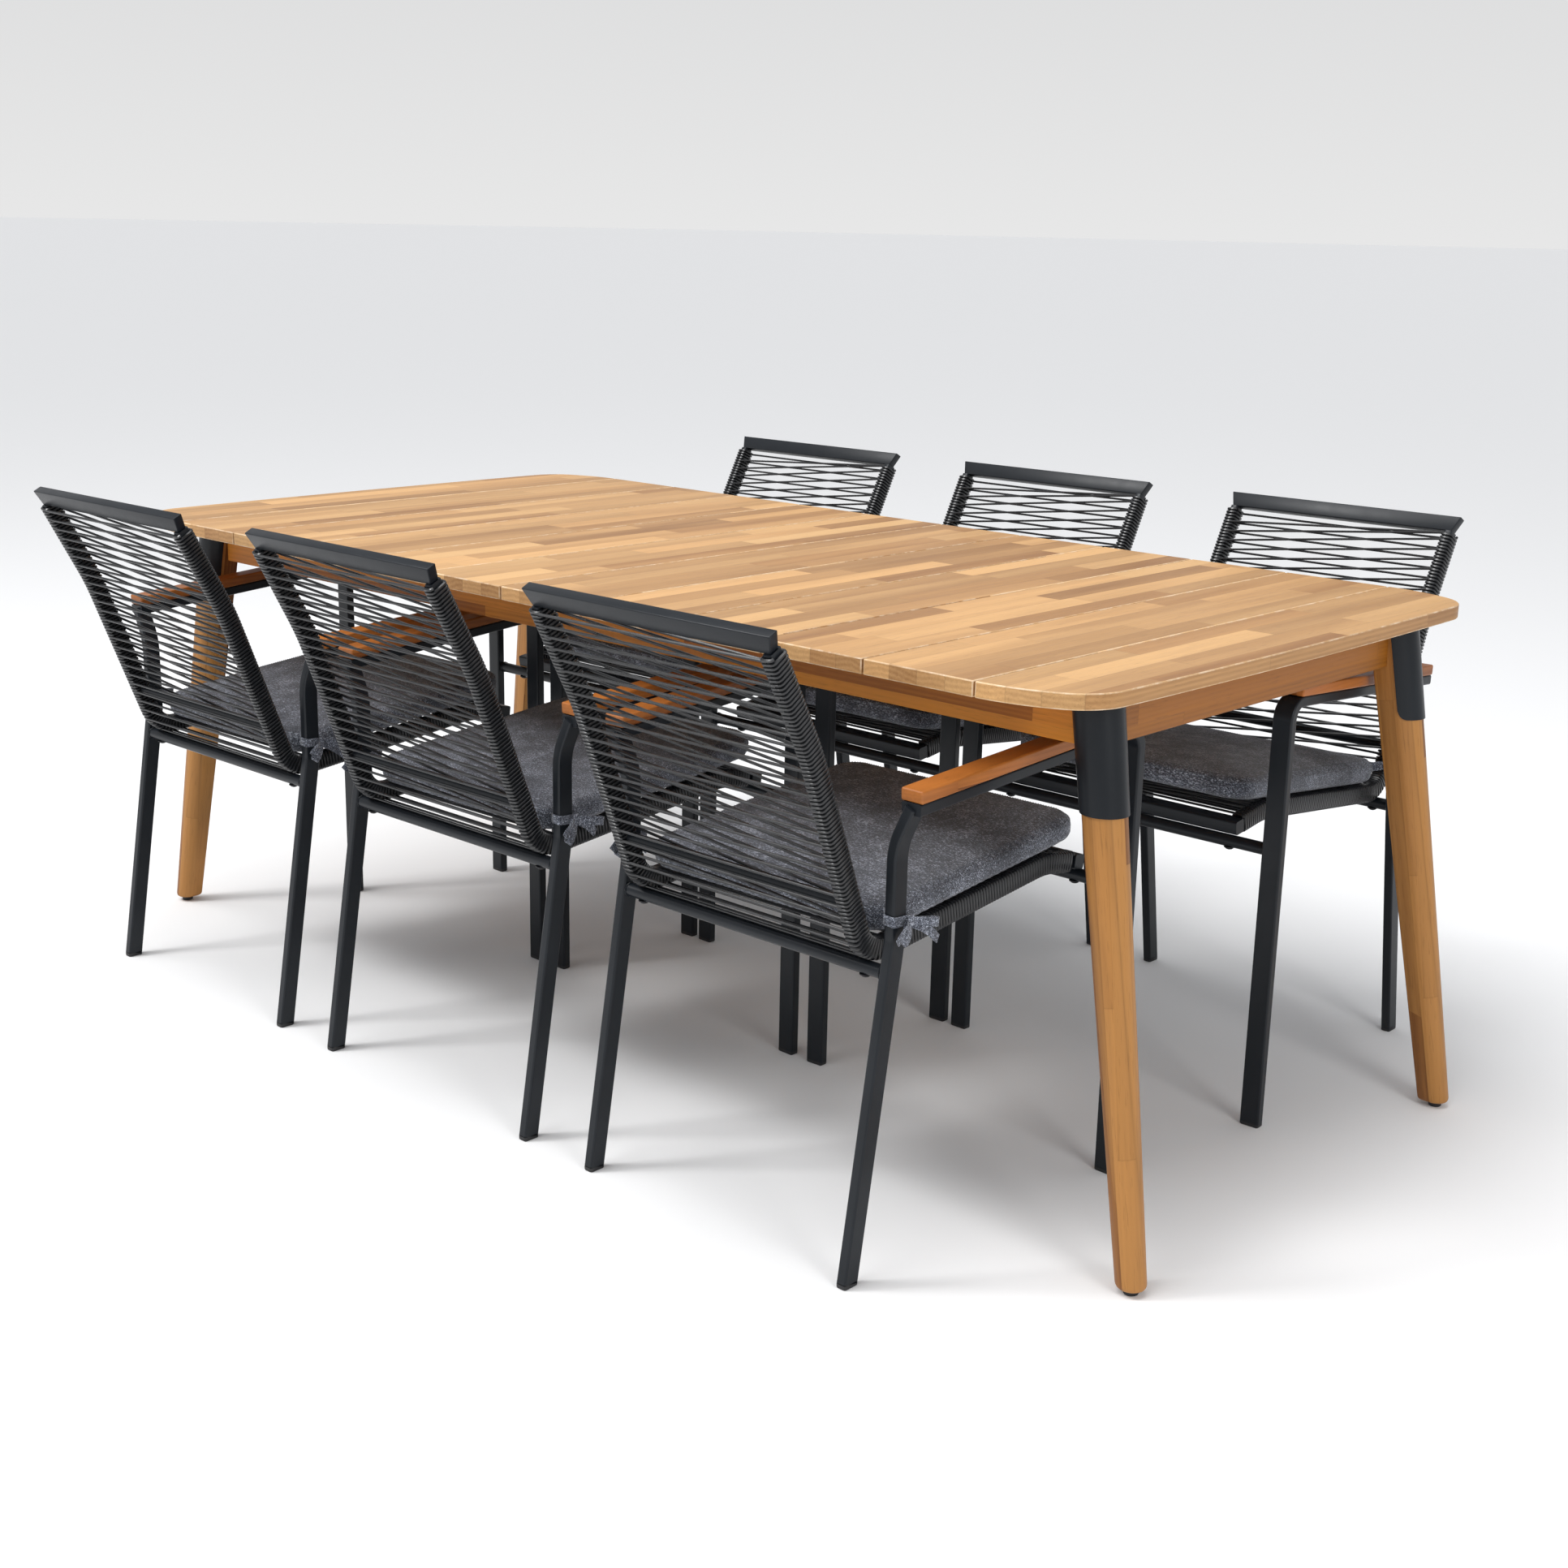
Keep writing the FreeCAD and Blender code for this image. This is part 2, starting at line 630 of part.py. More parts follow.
def armrests():
    """Wooden rests on the arm bars, eased on every long edge."""
    body = doc.addObject("PartDesign::Body", "armrest_board")
    half, thick = size("armrest_wide") / 2.0, size("armrest_thick")
    outline = body_sketch(body, "armrest_outline", "XZ_Plane",
                          polygon([(-half, 0), (half, 0), (half, thick), (-half, thick)]))
    pad = body.newObject("PartDesign::Pad", "armrest_pad")
    pad.Profile = outline
    pad.Reversed = True
    bind(pad, Length="armrest_long")
    doc.recompute()
    easing = body.newObject("PartDesign::Fillet", "armrest_easing")
    easing.Base = (pad, ["Edge%d" % (i + 1) for i in range(len(pad.Shape.Edges))])
    bind(easing, Radius="armrest_round")
    body.Tip = easing
    slope = turned(1, 0, 0, arm_slope())
    lift = size("bar_thick") / 2.0 / math.cos(math.radians(arm_slope()))
    rotation = turned(0, 0, 1, -arm_turn()).multiply(slope)
    body.Placement = FreeCAD.Placement(
        Vector(size("arm_rear_x"), size("arm_rear_y"), size("arm_rear_height") + lift), rotation)
    doc.recompute()
    right = grouped("right_armrest", [body])
    return grouped("armrests", [right, mirrored("left_armrest", right, Vector(1, 0, 0))])


def seat_cushion():
    """Loose cushion that lies on the seat cords, tilted with them."""
    body = rounded_block("cushion_block", "cushion_wide", "cushion_deep", "cushion_thick",
                         "cushion_corner", "cushion_round")
    path, bends = seat_path()
    way = unit(path[2], path[1])
    along = (size("cushion_rear_y") - path[2][0]) / way[0]
    lift = size("rail_deep") / 2.0 + size("cord_thick") + size("cushion_gap")
    rear = shifted(shifted(path[2], way, along), (-way[1], way[0]), lift)
    tilt = math.degrees(math.atan2(way[1], way[0]))
    body.Placement = FreeCAD.Placement(Vector(0, rear[0], rear[1]), turned(1, 0, 0, tilt))
    return grouped("seat_cushion", [body])


# ---------------------------------------------------------------- the set

def chair_places():
    """Name, position formulas and turn of the six chairs."""
    places = []
    for row, side in (("near", -1), ("far", 1)):
        for seat, step in (("left", -1), ("middle", 0), ("right", 1)):
            x = "%d * %s_pitch + %s_shift" % (step, row, row)
            y = "%d * row_distance" % side
            places.append((row + "_" + seat, x, y, 0 if row == "near" else 180))
    return places


def set_out_chairs(pieces):
    """Each chair gets its own copy of every chair piece, set at the chair's place."""
    nodes = []
    for chair, x, y, turn in chair_places():
        for piece in pieces:
            name = chair + "_" + piece.Name
            node = grouped(name, [piece])
            node.Placement = FreeCAD.Placement(Vector(), turned(0, 0, 1, turn))
            bind(node, Placement__Base__x=x, Placement__Base__y=y)
            nodes.append(node)
    return nodes


def build():
    leg, legs, sleeves = table_legs_and_sleeves()
    nodes = [table_boards(), table_battens(), table_aprons(leg), legs, sleeves, table_glides()]
    right = right_side()
    pieces = [mirrored("left_side", right, Vector(1, 0, 0)), right, cross_rails(),
              seat_bolts(), foot_plugs(), seat_back_frame(), cord_weave(), armrests(),
              seat_cushion()]
    nodes += set_out_chairs(pieces)
    doc.recompute()
    for node in nodes:
        node.Label = node.Name
    return nodes


def check(nodes):
    for thing in doc.Objects:
        if "Invalid" in thing.State or "Error" in thing.State:
            raise RuntimeError("failed object: " + thing.Name)
    for node in nodes:
        if node.Shape.isNull() or not node.Shape.isValid():
            raise RuntimeError("bad shape: " + node.Name)


def write(nodes):
    os.makedirs("parts", exist_ok=True)
    for node in nodes:
        node.Shape.exportStep("parts/%s.step" % node.Label)


nodes = build()
check(nodes)
write(nodes)
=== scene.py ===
import cmath
import random
from math import acos, asin, atan2, ceil, cos, hypot, pi, radians, sin, sqrt, tan

import bmesh
import bpy
import numpy as np
from mathutils import Matrix, Vector
from mathutils.bvhtree import BVHTree


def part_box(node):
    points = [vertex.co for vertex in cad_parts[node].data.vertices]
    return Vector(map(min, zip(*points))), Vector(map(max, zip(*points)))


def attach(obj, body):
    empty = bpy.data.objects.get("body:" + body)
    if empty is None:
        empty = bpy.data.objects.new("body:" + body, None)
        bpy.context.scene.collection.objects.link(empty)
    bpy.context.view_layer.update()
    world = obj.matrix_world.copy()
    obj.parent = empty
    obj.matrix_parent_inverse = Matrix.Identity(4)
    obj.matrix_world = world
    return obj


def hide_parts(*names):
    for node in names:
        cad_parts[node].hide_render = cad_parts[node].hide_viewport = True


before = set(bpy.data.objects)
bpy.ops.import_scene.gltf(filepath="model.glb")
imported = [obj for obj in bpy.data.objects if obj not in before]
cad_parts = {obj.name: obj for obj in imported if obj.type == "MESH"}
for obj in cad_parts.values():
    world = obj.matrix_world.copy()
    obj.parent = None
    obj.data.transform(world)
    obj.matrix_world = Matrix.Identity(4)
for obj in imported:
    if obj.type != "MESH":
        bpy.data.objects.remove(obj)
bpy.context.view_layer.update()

# Looks of a patio dining set: a slatted wooden table and six corded armchairs. Metres.
# A chair is made once, in its own frame (x = 0 on its middle line, +y towards the table,
# z = 0 on the floor), and then set at each chair's place.

# ---------------- sizes shared with the frame

TOP_HEIGHT = 0.740
BOARD_THICK = 0.020
BOARD_PITCH = 0.170
BOARD_GAP = 0.003
GLUE_LINE = 0.0012
TOP_SIDE = 0.500
SIDE_STRAIGHT = 0.850
SIDE_CURVE = (0.105, 0.024)
END_X = 1.005
END_BULGE = 0.007
CORNER_RUN = 0.066
BATTEN = (0.060, 0.018)
BATTEN_SPACING = 0.200
APRON_TALL = 0.067
APRON_THICK = 0.022
APRON_SIDE = 0.347
APRON_END = 0.916
APRON_HIDDEN = 0.024
LEG_TOP = (0.932, 0.368, 0.720)
LEG_FOOT = (1.053, 0.400, 0.008)
LEG_RADII = (0.0295, 0.0195)
SLEEVE_LONG = 0.140
SLEEVE_THICK = 0.0025
GLIDE_RADIUS = 0.0095

BAR = (0.030, 0.015)
UPRIGHT = (0.015, 0.025)
TUBE_CORNER = 0.003
FRONT_LEG = (0.267, 0.5105)
ARM_REAR = (0.253, 0.078, 0.595)
ARM_FRONT_HEIGHT = 0.6265
UPRIGHT_X = 0.2285
UPRIGHT_Y = 0.086
REAR_FOOT_Y = 0.0185
KNEE_HEIGHT = 0.428
HOOK = (0.545, 0.596)
PLUG_TALL = 0.005
CROSS_RADIUS = 0.009
REAR_CROSS = (0.077, 0.387)
FRONT_CROSS = (0.504, 0.411)
WELD = 0.0013
BOLT_X = 0.193
RAIL_X = 0.193
RAIL = (0.012, 0.020)
RAIL_LINE = [(0.487, 0.433), (0.425, 0.442), (0.070, 0.403), (-0.030, 0.666), (-0.098, 0.795)]
RAIL_BENDS = [0.150, 0.045, 0.400]
HEAD_RAIL = (0.206, 0.025, 0.015, 0.009)
FRONT_RAIL = 0.020
LUMBAR_RADIUS = 0.008
LUMBAR_ALONG = 0.075
CORD = 0.0047
STRAND = 0.0038
CORD_PITCH = 0.0055
STRAND_EVERY = 3 * CORD_PITCH
CROSSING = 0.024
ARMREST = (0.034, 0.418, 0.016)
CUSHION = (0.416, 0.424, 0.042)
CUSHION_REAR = 0.084
CUSHION_CORNER = 0.038
CUSHION_LIFT = 0.004 + 0.0006
CHAIRS = [row + "_" + seat for row in ("near", "far") for seat in ("left", "middle", "right")]
X_WAY = (1.0, 0.0, 0.0)
Z_WAY = (0.0, 0.0, 1.0)


# ---------------- mesh helpers

def unit(v):
    """A vector, or each row of an array, at length one."""
    return v / np.linalg.norm(v, axis=-1, keepdims=True)


def distances(path):
    """How far along the path each of its points lies."""
    return np.concatenate([[0], np.cumsum(np.linalg.norm(np.diff(path, axis=0), axis=1))])


def vectors(points, name="co"):
    return np.array([getattr(point, name)[:] for point in points])


def rounded_path(corners, bends, turn=radians(6)):
    """Points along straight runs joined by arcs; bends holds the radius at each inner corner."""
    corners = [np.array(c, float) for c in corners]
    points = [corners[0]]
    for before, here, after, bend in zip(corners, corners[1:], corners[2:], bends):
        arrive = unit(here - before)
        leave = unit(after - here)
        angle = acos(np.clip(arrive @ leave, -1, 1))
        inward = unit(leave - arrive * (arrive @ leave))
        start = here - arrive * bend * tan(angle / 2)
        centre = start + inward * bend
        steps = max(2, ceil(angle / turn))
        for i in range(steps + 1):
            a = angle * i / steps
            points.append(centre - inward * bend * cos(a) + arrive * bend * sin(a))
    points.append(corners[-1])
    return np.array(points)


def tangents_of(path):
    steps = unit(np.diff(path, axis=0))
    return np.vstack([steps[:1], unit(steps[:-1] + steps[1:]), steps[-1:]])


def carried(tangents, side):
    """A cross axis carried along the path without twist, starting near side."""
    sides = []
    side = np.array(side, float)
    for tangent in tangents:
        side = unit(side - tangent * (side @ tangent))
        sides.append(side)
    return np.array(sides)


def ring_faces(rings, count):
    """Quads between rings of count points each, with a flat face over both end rings."""
    row = np.arange(rings - 1)[:, None] * count
    here = np.arange(count)[None, :]
    there = (here + 1) % count
    quads = np.stack([row + here, row + there, row + count + there, row + count + here], -1)
    last = (rings - 1) * count
    return quads.reshape(-1, 4).tolist() + [list(range(count))[::-1],
                                            [last + i for i in range(count)]]


def sweep(path, section, side=None, sides=None, scales=None):
    """Closed solid of a counter-clockwise section carried along a path."""
    path = np.array(path, float)
    section = np.array(section, float)
    tangents = tangents_of(path)
    if sides is None:
        sides = carried(tangents, side)
    else:
        sides = unit(sides - tangents * np.sum(sides * tangents, axis=1)[:, None])
    ups = np.cross(tangents, sides)
    scales = np.ones(len(path)) if scales is None else np.array(scales, float)
    rings = section[None, :, :1] * sides[:, None, :] + section[None, :, 1:] * ups[:, None, :]
    verts = (path[:, None, :] + scales[:, None, None] * rings).reshape(-1, 3)
    return verts, ring_faces(len(path), len(section))


def circle(radius, count=16):
    angles = np.arange(count) * 2 * pi / count
    return np.stack([radius * np.cos(angles), radius * np.sin(angles)], -1)


def rounded_rectangle(wide, tall, corner, steps=4):
    """Outline of a rectangle with round corners, counter-clockwise."""
    points = []
    for quarter, (sx, sy) in enumerate(((1, 1), (-1, 1), (-1, -1), (1, -1))):
        for i in range(steps + 1):
            a = pi / 2 * (quarter + i / steps)
            points.append((sx * (wide / 2 - corner) + corner * cos(a),
                           sy * (tall / 2 - corner) + corner * sin(a)))
    return points


def mirrored(shape, sx=-1, sy=1):
    """The shape turned over in X where sx is -1, and in Y where sy is -1."""
    verts, faces = shape
    if sx * sy < 0:
        faces = [face[::-1] for face in faces]
    return verts * np.array([sx, sy, 1.0]), faces


def moved(shape, matrix):
    verts, faces = shape
    turn = np.array(matrix.to_3x3())
    return verts @ turn.T + np.array(matrix.translation), faces


def joined(*shapes):
    verts = []
    faces = []
    start = 0
    for more_verts, more_faces in shapes:
        verts.append(more_verts)
        faces += [[start + i for i in face] for face in more_faces]
        start += len(more_verts)
    return np.vstack(verts), faces


def both_sides(shape):
    return joined(shape, mirrored(shape))


BOX_FACES = [(0, 3, 2, 1), (4, 5, 6, 7), (0, 1, 5, 4), (1, 2, 6, 5), (2, 3, 7, 6), (3, 0, 4, 7)]


def eased(corners, width, steps=3):
    """A six-sided solid with every edge rounded."""
    mesh = bmesh.new()
    verts = [mesh.verts.new(c) for c in corners]
    for face in BOX_FACES:
        mesh.faces.new([verts[i] for i in face])
    bmesh.ops.recalc_face_normals(mesh, faces=mesh.faces)
    bmesh.ops.bevel(mesh, geom=list(mesh.edges), offset=width, segments=steps, profile=0.5,
                    affect="EDGES", clamp_overlap=True)
    mesh.verts.index_update()
    shape = vectors(mesh.verts), [[v.index for v in f.verts] for f in mesh.faces]
    mesh.free()
    return shape


def block(low, high, width, steps=3):
    """A box with eased edges."""
    (x0, y0, z0), (x1, y1, z1) = low, high
    corners = [(x, y, z) for z in (z0, z1) for x, y in ((x0, y0), (x1, y0), (x1, y1), (x0, y1))]
    return eased(corners, width, steps)


def dome(radius, tall, centre):
    """The low domed head of a bolt, hanging from its centre."""
    x, y, z = centre
    rings = [(0, 1.0), (0.35, 0.97), (0.7, 0.75), (0.92, 0.42), (1.0, 0.12)]
    return sweep([(x, y, z - tall * share) for share, scale in rings], circle(radius, 20),
                 side=X_WAY, scales=[scale for share, scale in rings])


def plain_mesh(name, verts, faces):
    mesh = bpy.data.meshes.new(name)
    mesh.from_pydata(verts, [], faces)
    return mesh


def mesh_of(name, shape, material, sharp=40):
    """A smooth mesh of one material, creased where faces meet at over sharp degrees."""
    mesh = plain_mesh(name, shape[0].tolist(), shape[1])
    mesh.materials.append(material)
    mesh.shade_smooth()
    mesh.set_sharp_from_angle(angle=radians(sharp))
    mesh.update()
    return mesh


def add_object(name, data):
    obj = bpy.data.objects.new(name, data)
    bpy.context.collection.objects.link(obj)
    return obj


def add_piece(name, mesh, body, slot, place=None, replaces=(), weighted=False):
    """Sets a mesh in the scene, riding on a CAD body."""
    obj = add_object(name, mesh)
    if place is not None:
        obj.matrix_world = place
    if weighted:
        obj.modifiers.new("even", "WEIGHTED_NORMAL").keep_sharp = True
    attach(obj, body)
    if replaces:
        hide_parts(*replaces)
    return obj


def table_piece(name, shape, material, slot, node, sharp=40, **more):
    add_piece(name, mesh_of(name, shape, material, sharp), "table", slot, replaces=[node], **more)


# ---------------- materials

class Shader:
    """A material's node tree, with short ways to add and link nodes."""

    def __init__(self, name):
        self.material = bpy.data.materials.new(name)
        self.material.use_nodes = True
        self.tree = self.material.node_tree
        self.surface = self.tree.nodes["Principled BSDF"]

    def add(self, kind, output=0, settings=None, **values):
        node = self.tree.nodes.new("ShaderNode" + kind)
        for key, value in (settings or {}).items():
            setattr(node, key, value)
        for key, value in values.items():
            key = key.replace("_", " ")
            socket = node.inputs[int(key[1:])] if key[1:].isdigit() else node.inputs[key]
            self.set(socket, value)
        return node.outputs[output]

    def set(self, socket, value):
        if isinstance(value, bpy.types.NodeSocket):
            self.tree.links.new(value, socket)
        else:
            socket.default_value = value

    def finish(self, **values):
        for key, value in values.items():
            self.set(self.surface.inputs[key.replace("_", " ")], value)
        return self.material

    def place(self):
        return self.add("TexCoord", output=3)

    def noise(self, vector, scale, detail=3.0, roughness=0.5, seed=None):
        settings = {"noise_dimensions": "4D"} if seed is not None else None
        extra = {"W": seed} if seed is not None else {}
        return self.add("TexNoise", Vector=vector, Scale=scale, Detail=detail,
                        Roughness=roughness, settings=settings, **extra)

    def math(self, operation, a, b=0.0):
        return self.add("Math", settings={"operation": operation}, i0=a, i1=b)

    def times(self, a, b):
        return self.math("MULTIPLY", a, b)

    def total(self, first, *others):
        for other in others:
            first = self.math("ADD", first, other)
        return first

    def ramp(self, value, stops):
        socket = self.add("ValToRGB", Fac=value)
        ramp = socket.node.color_ramp
        while len(ramp.elements) < len(stops):
            ramp.elements.new(0.5)
        for element, (position, colour) in zip(ramp.elements, stops):
            element.position = position
            element.color = colour if len(colour) == 4 else (*colour, 1)
        return socket

    def mix(self, factor, a, b, blend="MIX"):
        node = self.tree.nodes.new("ShaderNodeMix")
        node.data_type = "RGBA"
        node.blend_type = blend
        for socket, value in ((node.inputs[0], factor), (node.inputs[6], a), (node.inputs[7], b)):
            if isinstance(value, tuple) and len(value) == 3:
                value = (*value, 1)
            self.set(socket, value)
        return node.outputs[2]

    def bump(self, height, strength, distance):
        return self.add("Bump", Height=height, Strength=strength, Distance=distance)


def grey(value):
    return (value, value, value)


def wood(name, dark, light, stave, grain_axis=1, knots=0.0, wear_and_highlight=0.0, gloss=0.45,
         contrast=0.46):
    """Oiled wood glued up from staves: stave = (width, length, layer) in metres.

    grain_axis is the object axis the grain runs along. Each stave gets its own tone, grain
    offset and growth-ring centre, so its faces and its end show one log.
    """
    shader = Shader(name)
    op, times, total = shader.math, shader.times, shader.total
    ramp, mix = shader.ramp, shader.mix
    place = shader.place()
    separate = shader.tree.nodes.new("ShaderNodeSeparateXYZ")
    shader.tree.links.new(place, separate.inputs[0])
    axes = [separate.outputs[i] for i in range(3)]
    along = axes.pop(grain_axis)
    across, depth = axes
    width, length, layer = stave

    def scaled(cross, lengthwise):
        """The place, scaled across and along the grain."""
        return shader.add("CombineXYZ", X=times(across, cross), Y=times(along, lengthwise),
                          Z=times(depth, cross))

    def glue_line(distance, period, shade):
        """A thin darker line at each multiple of the period."""
        nearness = times(op("PINGPONG", distance, period / 2), 1.0 / GLUE_LINE)
        return ramp(nearness, [(0.0, grey(shade)), (1.0, grey(1.0))])

    column = op("FLOOR", op("DIVIDE", across, width))
    level = op("FLOOR", op("DIVIDE", depth, layer))
    lane = shader.add("CombineXYZ", X=column, Y=level, Z=0.5)
    lane_shift = shader.add("TexWhiteNoise", Vector=lane)
    run = total(op("DIVIDE", along, length), times(lane_shift, 7.3))
    cell = shader.add("CombineXYZ", X=column, Y=level, Z=op("FLOOR", run))
    tone = shader.add("TexWhiteNoise", Vector=cell)
    hue = shader.add("TexWhiteNoise", Vector=shader.add("VectorMath", i0=cell, i1=(17.3, 5.1, 9.7)))
    own = times(tone, 40.0)
    # growth rings round a centre below or above the stave
    inside = op("SUBTRACT", across, times(column, width))
    ring_x = op("SUBTRACT", inside, times(tone, width))
    ring_z = total(depth, times(hue, 0.06))
    radius = op("SQRT", total(op("POWER", ring_x, 2.0), op("POWER", ring_z, 2.0)))
    stretched = scaled(14.0, 0.9)
    wander = shader.noise(stretched, 1.0, seed=own)
    rings = op("SINE", total(times(radius, 900.0), times(wander, 22.0)))
    fibre = shader.noise(scaled(260.0, 6.0), 1.0, detail=4.0, roughness=0.65, seed=own)
    pores = shader.noise(scaled(700.0, 34.0), 1.0, detail=2.0, seed=own)
    broad = shader.noise(stretched, 0.45, detail=2.0, seed=total(own, 11.0))
    figure = total(times(tone, contrast), times(broad, 0.50), times(fibre, 0.28),
                   times(rings, 0.05))
    figure = op("SUBTRACT", figure, 0.09)
    middle = tuple((a + b) / 2 for a, b in zip(dark, light))
    pale = tuple(min(1.0, c * 1.12) for c in light)
    colour = ramp(figure, [(0.20, dark), (0.46, middle), (0.70, light), (0.95, pale)])
    warm = mix(times(hue, 0.30), colour, (1.0, 0.80, 0.62), "MULTIPLY")
    colour = mix(0.55, warm, ramp(pores, [(0.30, grey(0.62)), (0.42, grey(1.0))]), "MULTIPLY")
    colour = mix(0.6, colour, glue_line(inside, width, 0.70), "MULTIPLY")
    part = times(op("FRACT", run), length)
    colour = mix(0.6, colour, glue_line(part, length, 0.72), "MULTIPLY")
    if knots:
        spread = scaled(9.0, 5.0)
        cells = shader.add("TexVoronoi", Vector=spread, Scale=1.0)
        chance = shader.add("TexVoronoi", output=1, Vector=spread, Scale=1.0)
        near = ramp(cells, [(0.02, grey(1.0)), (0.085, grey(0.0))])
        spot = times(near, op("LESS_THAN", chance, knots))
        colour = mix(spot, colour, tuple(c * 0.28 for c in dark))
    # pale patches on the rim wood: partly wear, partly a painted highlight where the eased edges
    # catch the light
    if wear_and_highlight:
        wear_and_highlight_noise = shader.noise(place, 38.0, detail=5.0, roughness=0.7)
        patch = ramp(wear_and_highlight_noise, [(0.42, grey(0.0)), (0.62, grey(1.0))])
        colour = mix(times(patch, wear_and_highlight), colour, (0.86, 0.74, 0.58))
    rough = total(times(fibre, 0.22), gloss - 0.10)
    normal = shader.bump(total(times(fibre, 0.5), times(pores, 0.5)), 0.16, 0.0006)
    return shader.finish(Base_Color=colour, Roughness=rough, Normal=normal,
                         Specular_IOR_Level=0.32)


def powder_coat(name, base, highlight):
    """Satin powder coat with a fine orange-peel surface and faint handling marks."""
    shader = Shader(name)
    place = shader.place()
    cloud = shader.noise(place, 9.0, detail=4.0)
    speck = shader.noise(place, 1600.0, detail=1.0)
    colour = shader.ramp(cloud, [(0.3, base), (0.7, highlight)])
    dust = shader.ramp(speck, [(0.60, grey(1.0)), (0.72, grey(1.35))])
    colour = shader.mix(0.5, colour, dust, "MULTIPLY")
    smears = shader.noise(place, 26.0, detail=5.0, roughness=0.7)
    normal = shader.bump(shader.noise(place, 900.0, detail=2.0), 0.10, 0.0004)
    rough = shader.total(shader.times(smears, 0.16), 0.26)
    return shader.finish(Base_Color=colour, Roughness=rough, Normal=normal,
                         Specular_IOR_Level=0.26)


def plastic(name, patch, dark, light, gloss, grain, specular=0.5):
    """Black plastic whose tone and gloss drift in patches.

    gloss = (spread, least) of the roughness; grain = (scale, strength, depth) of the surface.
    """
    shader = Shader(name)
    place = shader.place()
    cloud = shader.noise(place, patch)
    scale, strength, depth = grain
    return shader.finish(Base_Color=shader.ramp(cloud, [(0.3, dark), (0.7, light)]),
                         Roughness=shader.total(shader.times(cloud, gloss[0]), gloss[1]),
                         Normal=shader.bump(shader.noise(place, scale), strength, depth),
                         Specular_IOR_Level=specular)


def melange(name, lighter):
    """Woven charcoal cloth with light flecks that run along the weft."""
    shader = Shader(name)
    times, total = shader.times, shader.total
    place = shader.place()
    seed = times(shader.add("ObjectInfo", output=5), 20.0)
    weft, warp = [shader.noise(shader.add("Mapping", Vector=place, Scale=scale), 1.0, detail=2.0,
                               roughness=0.6, seed=seed)
                  for scale in ((260.0, 900.0, 700.0), (1000.0, 420.0, 700.0))]
    broad = shader.noise(place, 26.0, seed=seed)
    value = total(times(weft, 0.62), times(warp, 0.38),
                  times(shader.math("SUBTRACT", broad, 0.5), 0.22))
    tones = [(0.38, (0.012, 0.0138, 0.019)), (0.48, (0.040, 0.045, 0.060)),
             (0.55, (0.112, 0.124, 0.155)), (0.63, (0.43, 0.46, 0.53))]
    colour = shader.ramp(value, [(stop, tuple(c * lighter for c in tone))
                                 for stop, tone in tones])
    threads = [shader.add("TexWave", output=1, Vector=place, Scale=260.0, Distortion=1.2,
                          settings={"bands_direction": way}) for way in "XY"]
    weave = total(times(threads[0], 0.5), times(threads[1], 0.5))
    normal = shader.bump(total(times(weave, 0.5), value), 0.7, 0.0012)
    return shader.finish(Base_Color=colour, Roughness=0.88, Normal=normal, Sheen_Weight=0.25,
                         Sheen_Roughness=0.5)


def thread_material(name):
    shader = Shader(name)
    twist = shader.noise(shader.place(), 1500.0, detail=2.0)
    colour = shader.ramp(twist, [(0.35, (0.05, 0.052, 0.06)), (0.65, (0.20, 0.205, 0.22))])
    return shader.finish(Base_Color=colour, Roughness=0.8, Normal=shader.bump(twist, 0.4, 0.0004))


TOP_STAVE = (BOARD_PITCH / 4, 0.43, 0.020)
APRON_STAVE = (0.067, 0.60, 0.067)
TOP_WOOD = wood("top_wood", (0.265, 0.125, 0.041), (0.64, 0.385, 0.166), TOP_STAVE, knots=0.04,
                contrast=0.36)
# paler rim wood for the boards' eased edges: a painted highlight along the rims, with some wear
TOP_EDGE_HIGHLIGHT = wood("top_edge_highlight_wood", (0.36, 0.195, 0.080), (0.70, 0.48, 0.26), TOP_STAVE, wear_and_highlight=0.45,
                gloss=0.6)
APRON_WOOD = wood("apron_wood", (0.235, 0.066, 0.006), (0.60, 0.225, 0.026), APRON_STAVE,
                  grain_axis=0, knots=0.35)
# the end aprons take a darker copy of the side aprons' wood: painted shade on the end faces
SHADED_END_APRON_WOOD = wood("shaded_end_apron_wood", (0.150, 0.043, 0.004), (0.38, 0.140, 0.015), APRON_STAVE,
                      knots=0.35)
LEG_WOOD = wood("leg_wood", (0.152, 0.050, 0.009), (0.40, 0.185, 0.048), (0.021, 0.9, 0.021),
                grain_axis=2, knots=0.12, contrast=0.62)
ARM_WOOD = wood("armrest_wood", (0.158, 0.047, 0.009), (0.42, 0.145, 0.030), (0.034, 0.60, 0.034),
                gloss=0.38)
COAT = powder_coat("anthracite_coat", (0.0070, 0.0090, 0.0120), (0.0118, 0.0146, 0.0186))
CORD_LOOK = plastic("black_cord", 60.0, (0.006, 0.0064, 0.0075), (0.013, 0.0138, 0.0158),
                    (0.16, 0.22), (700.0, 0.10, 0.0003), 0.55)
CLOTH = melange("charcoal_melange", 1.0)
TIE_CLOTH = melange("tie_melange", 1.25)
PLUG_LOOK = plastic("black_plastic", 40.0, (0.010, 0.010, 0.011), (0.015, 0.015, 0.0165),
                    (0.2, 0.42), (900.0, 0.2, 0.0004))
THREAD = thread_material("stitch_thread")
BOLT_LOOK = powder_coat("black_bolt", (0.010, 0.010, 0.012), (0.02, 0.02, 0.022))


# ---------------- table

def arc_points(start, middle, end, count):
    """Points of the arc through three points, end included and start left out."""
    a, b, c = [complex(*point) for point in (start, middle, end)]
    w = (c - a) / (b - a)
    centre = a + (b - a) * (w - abs(w) ** 2) / (2j * w.imag)
    turn = cmath.phase((c - centre) / (a - centre))
    spots = [centre + (a - centre) * cmath.exp(1j * turn * i / count)
             for i in range(1, count + 1)]
    return [(spot.real, spot.imag) for spot in spots]


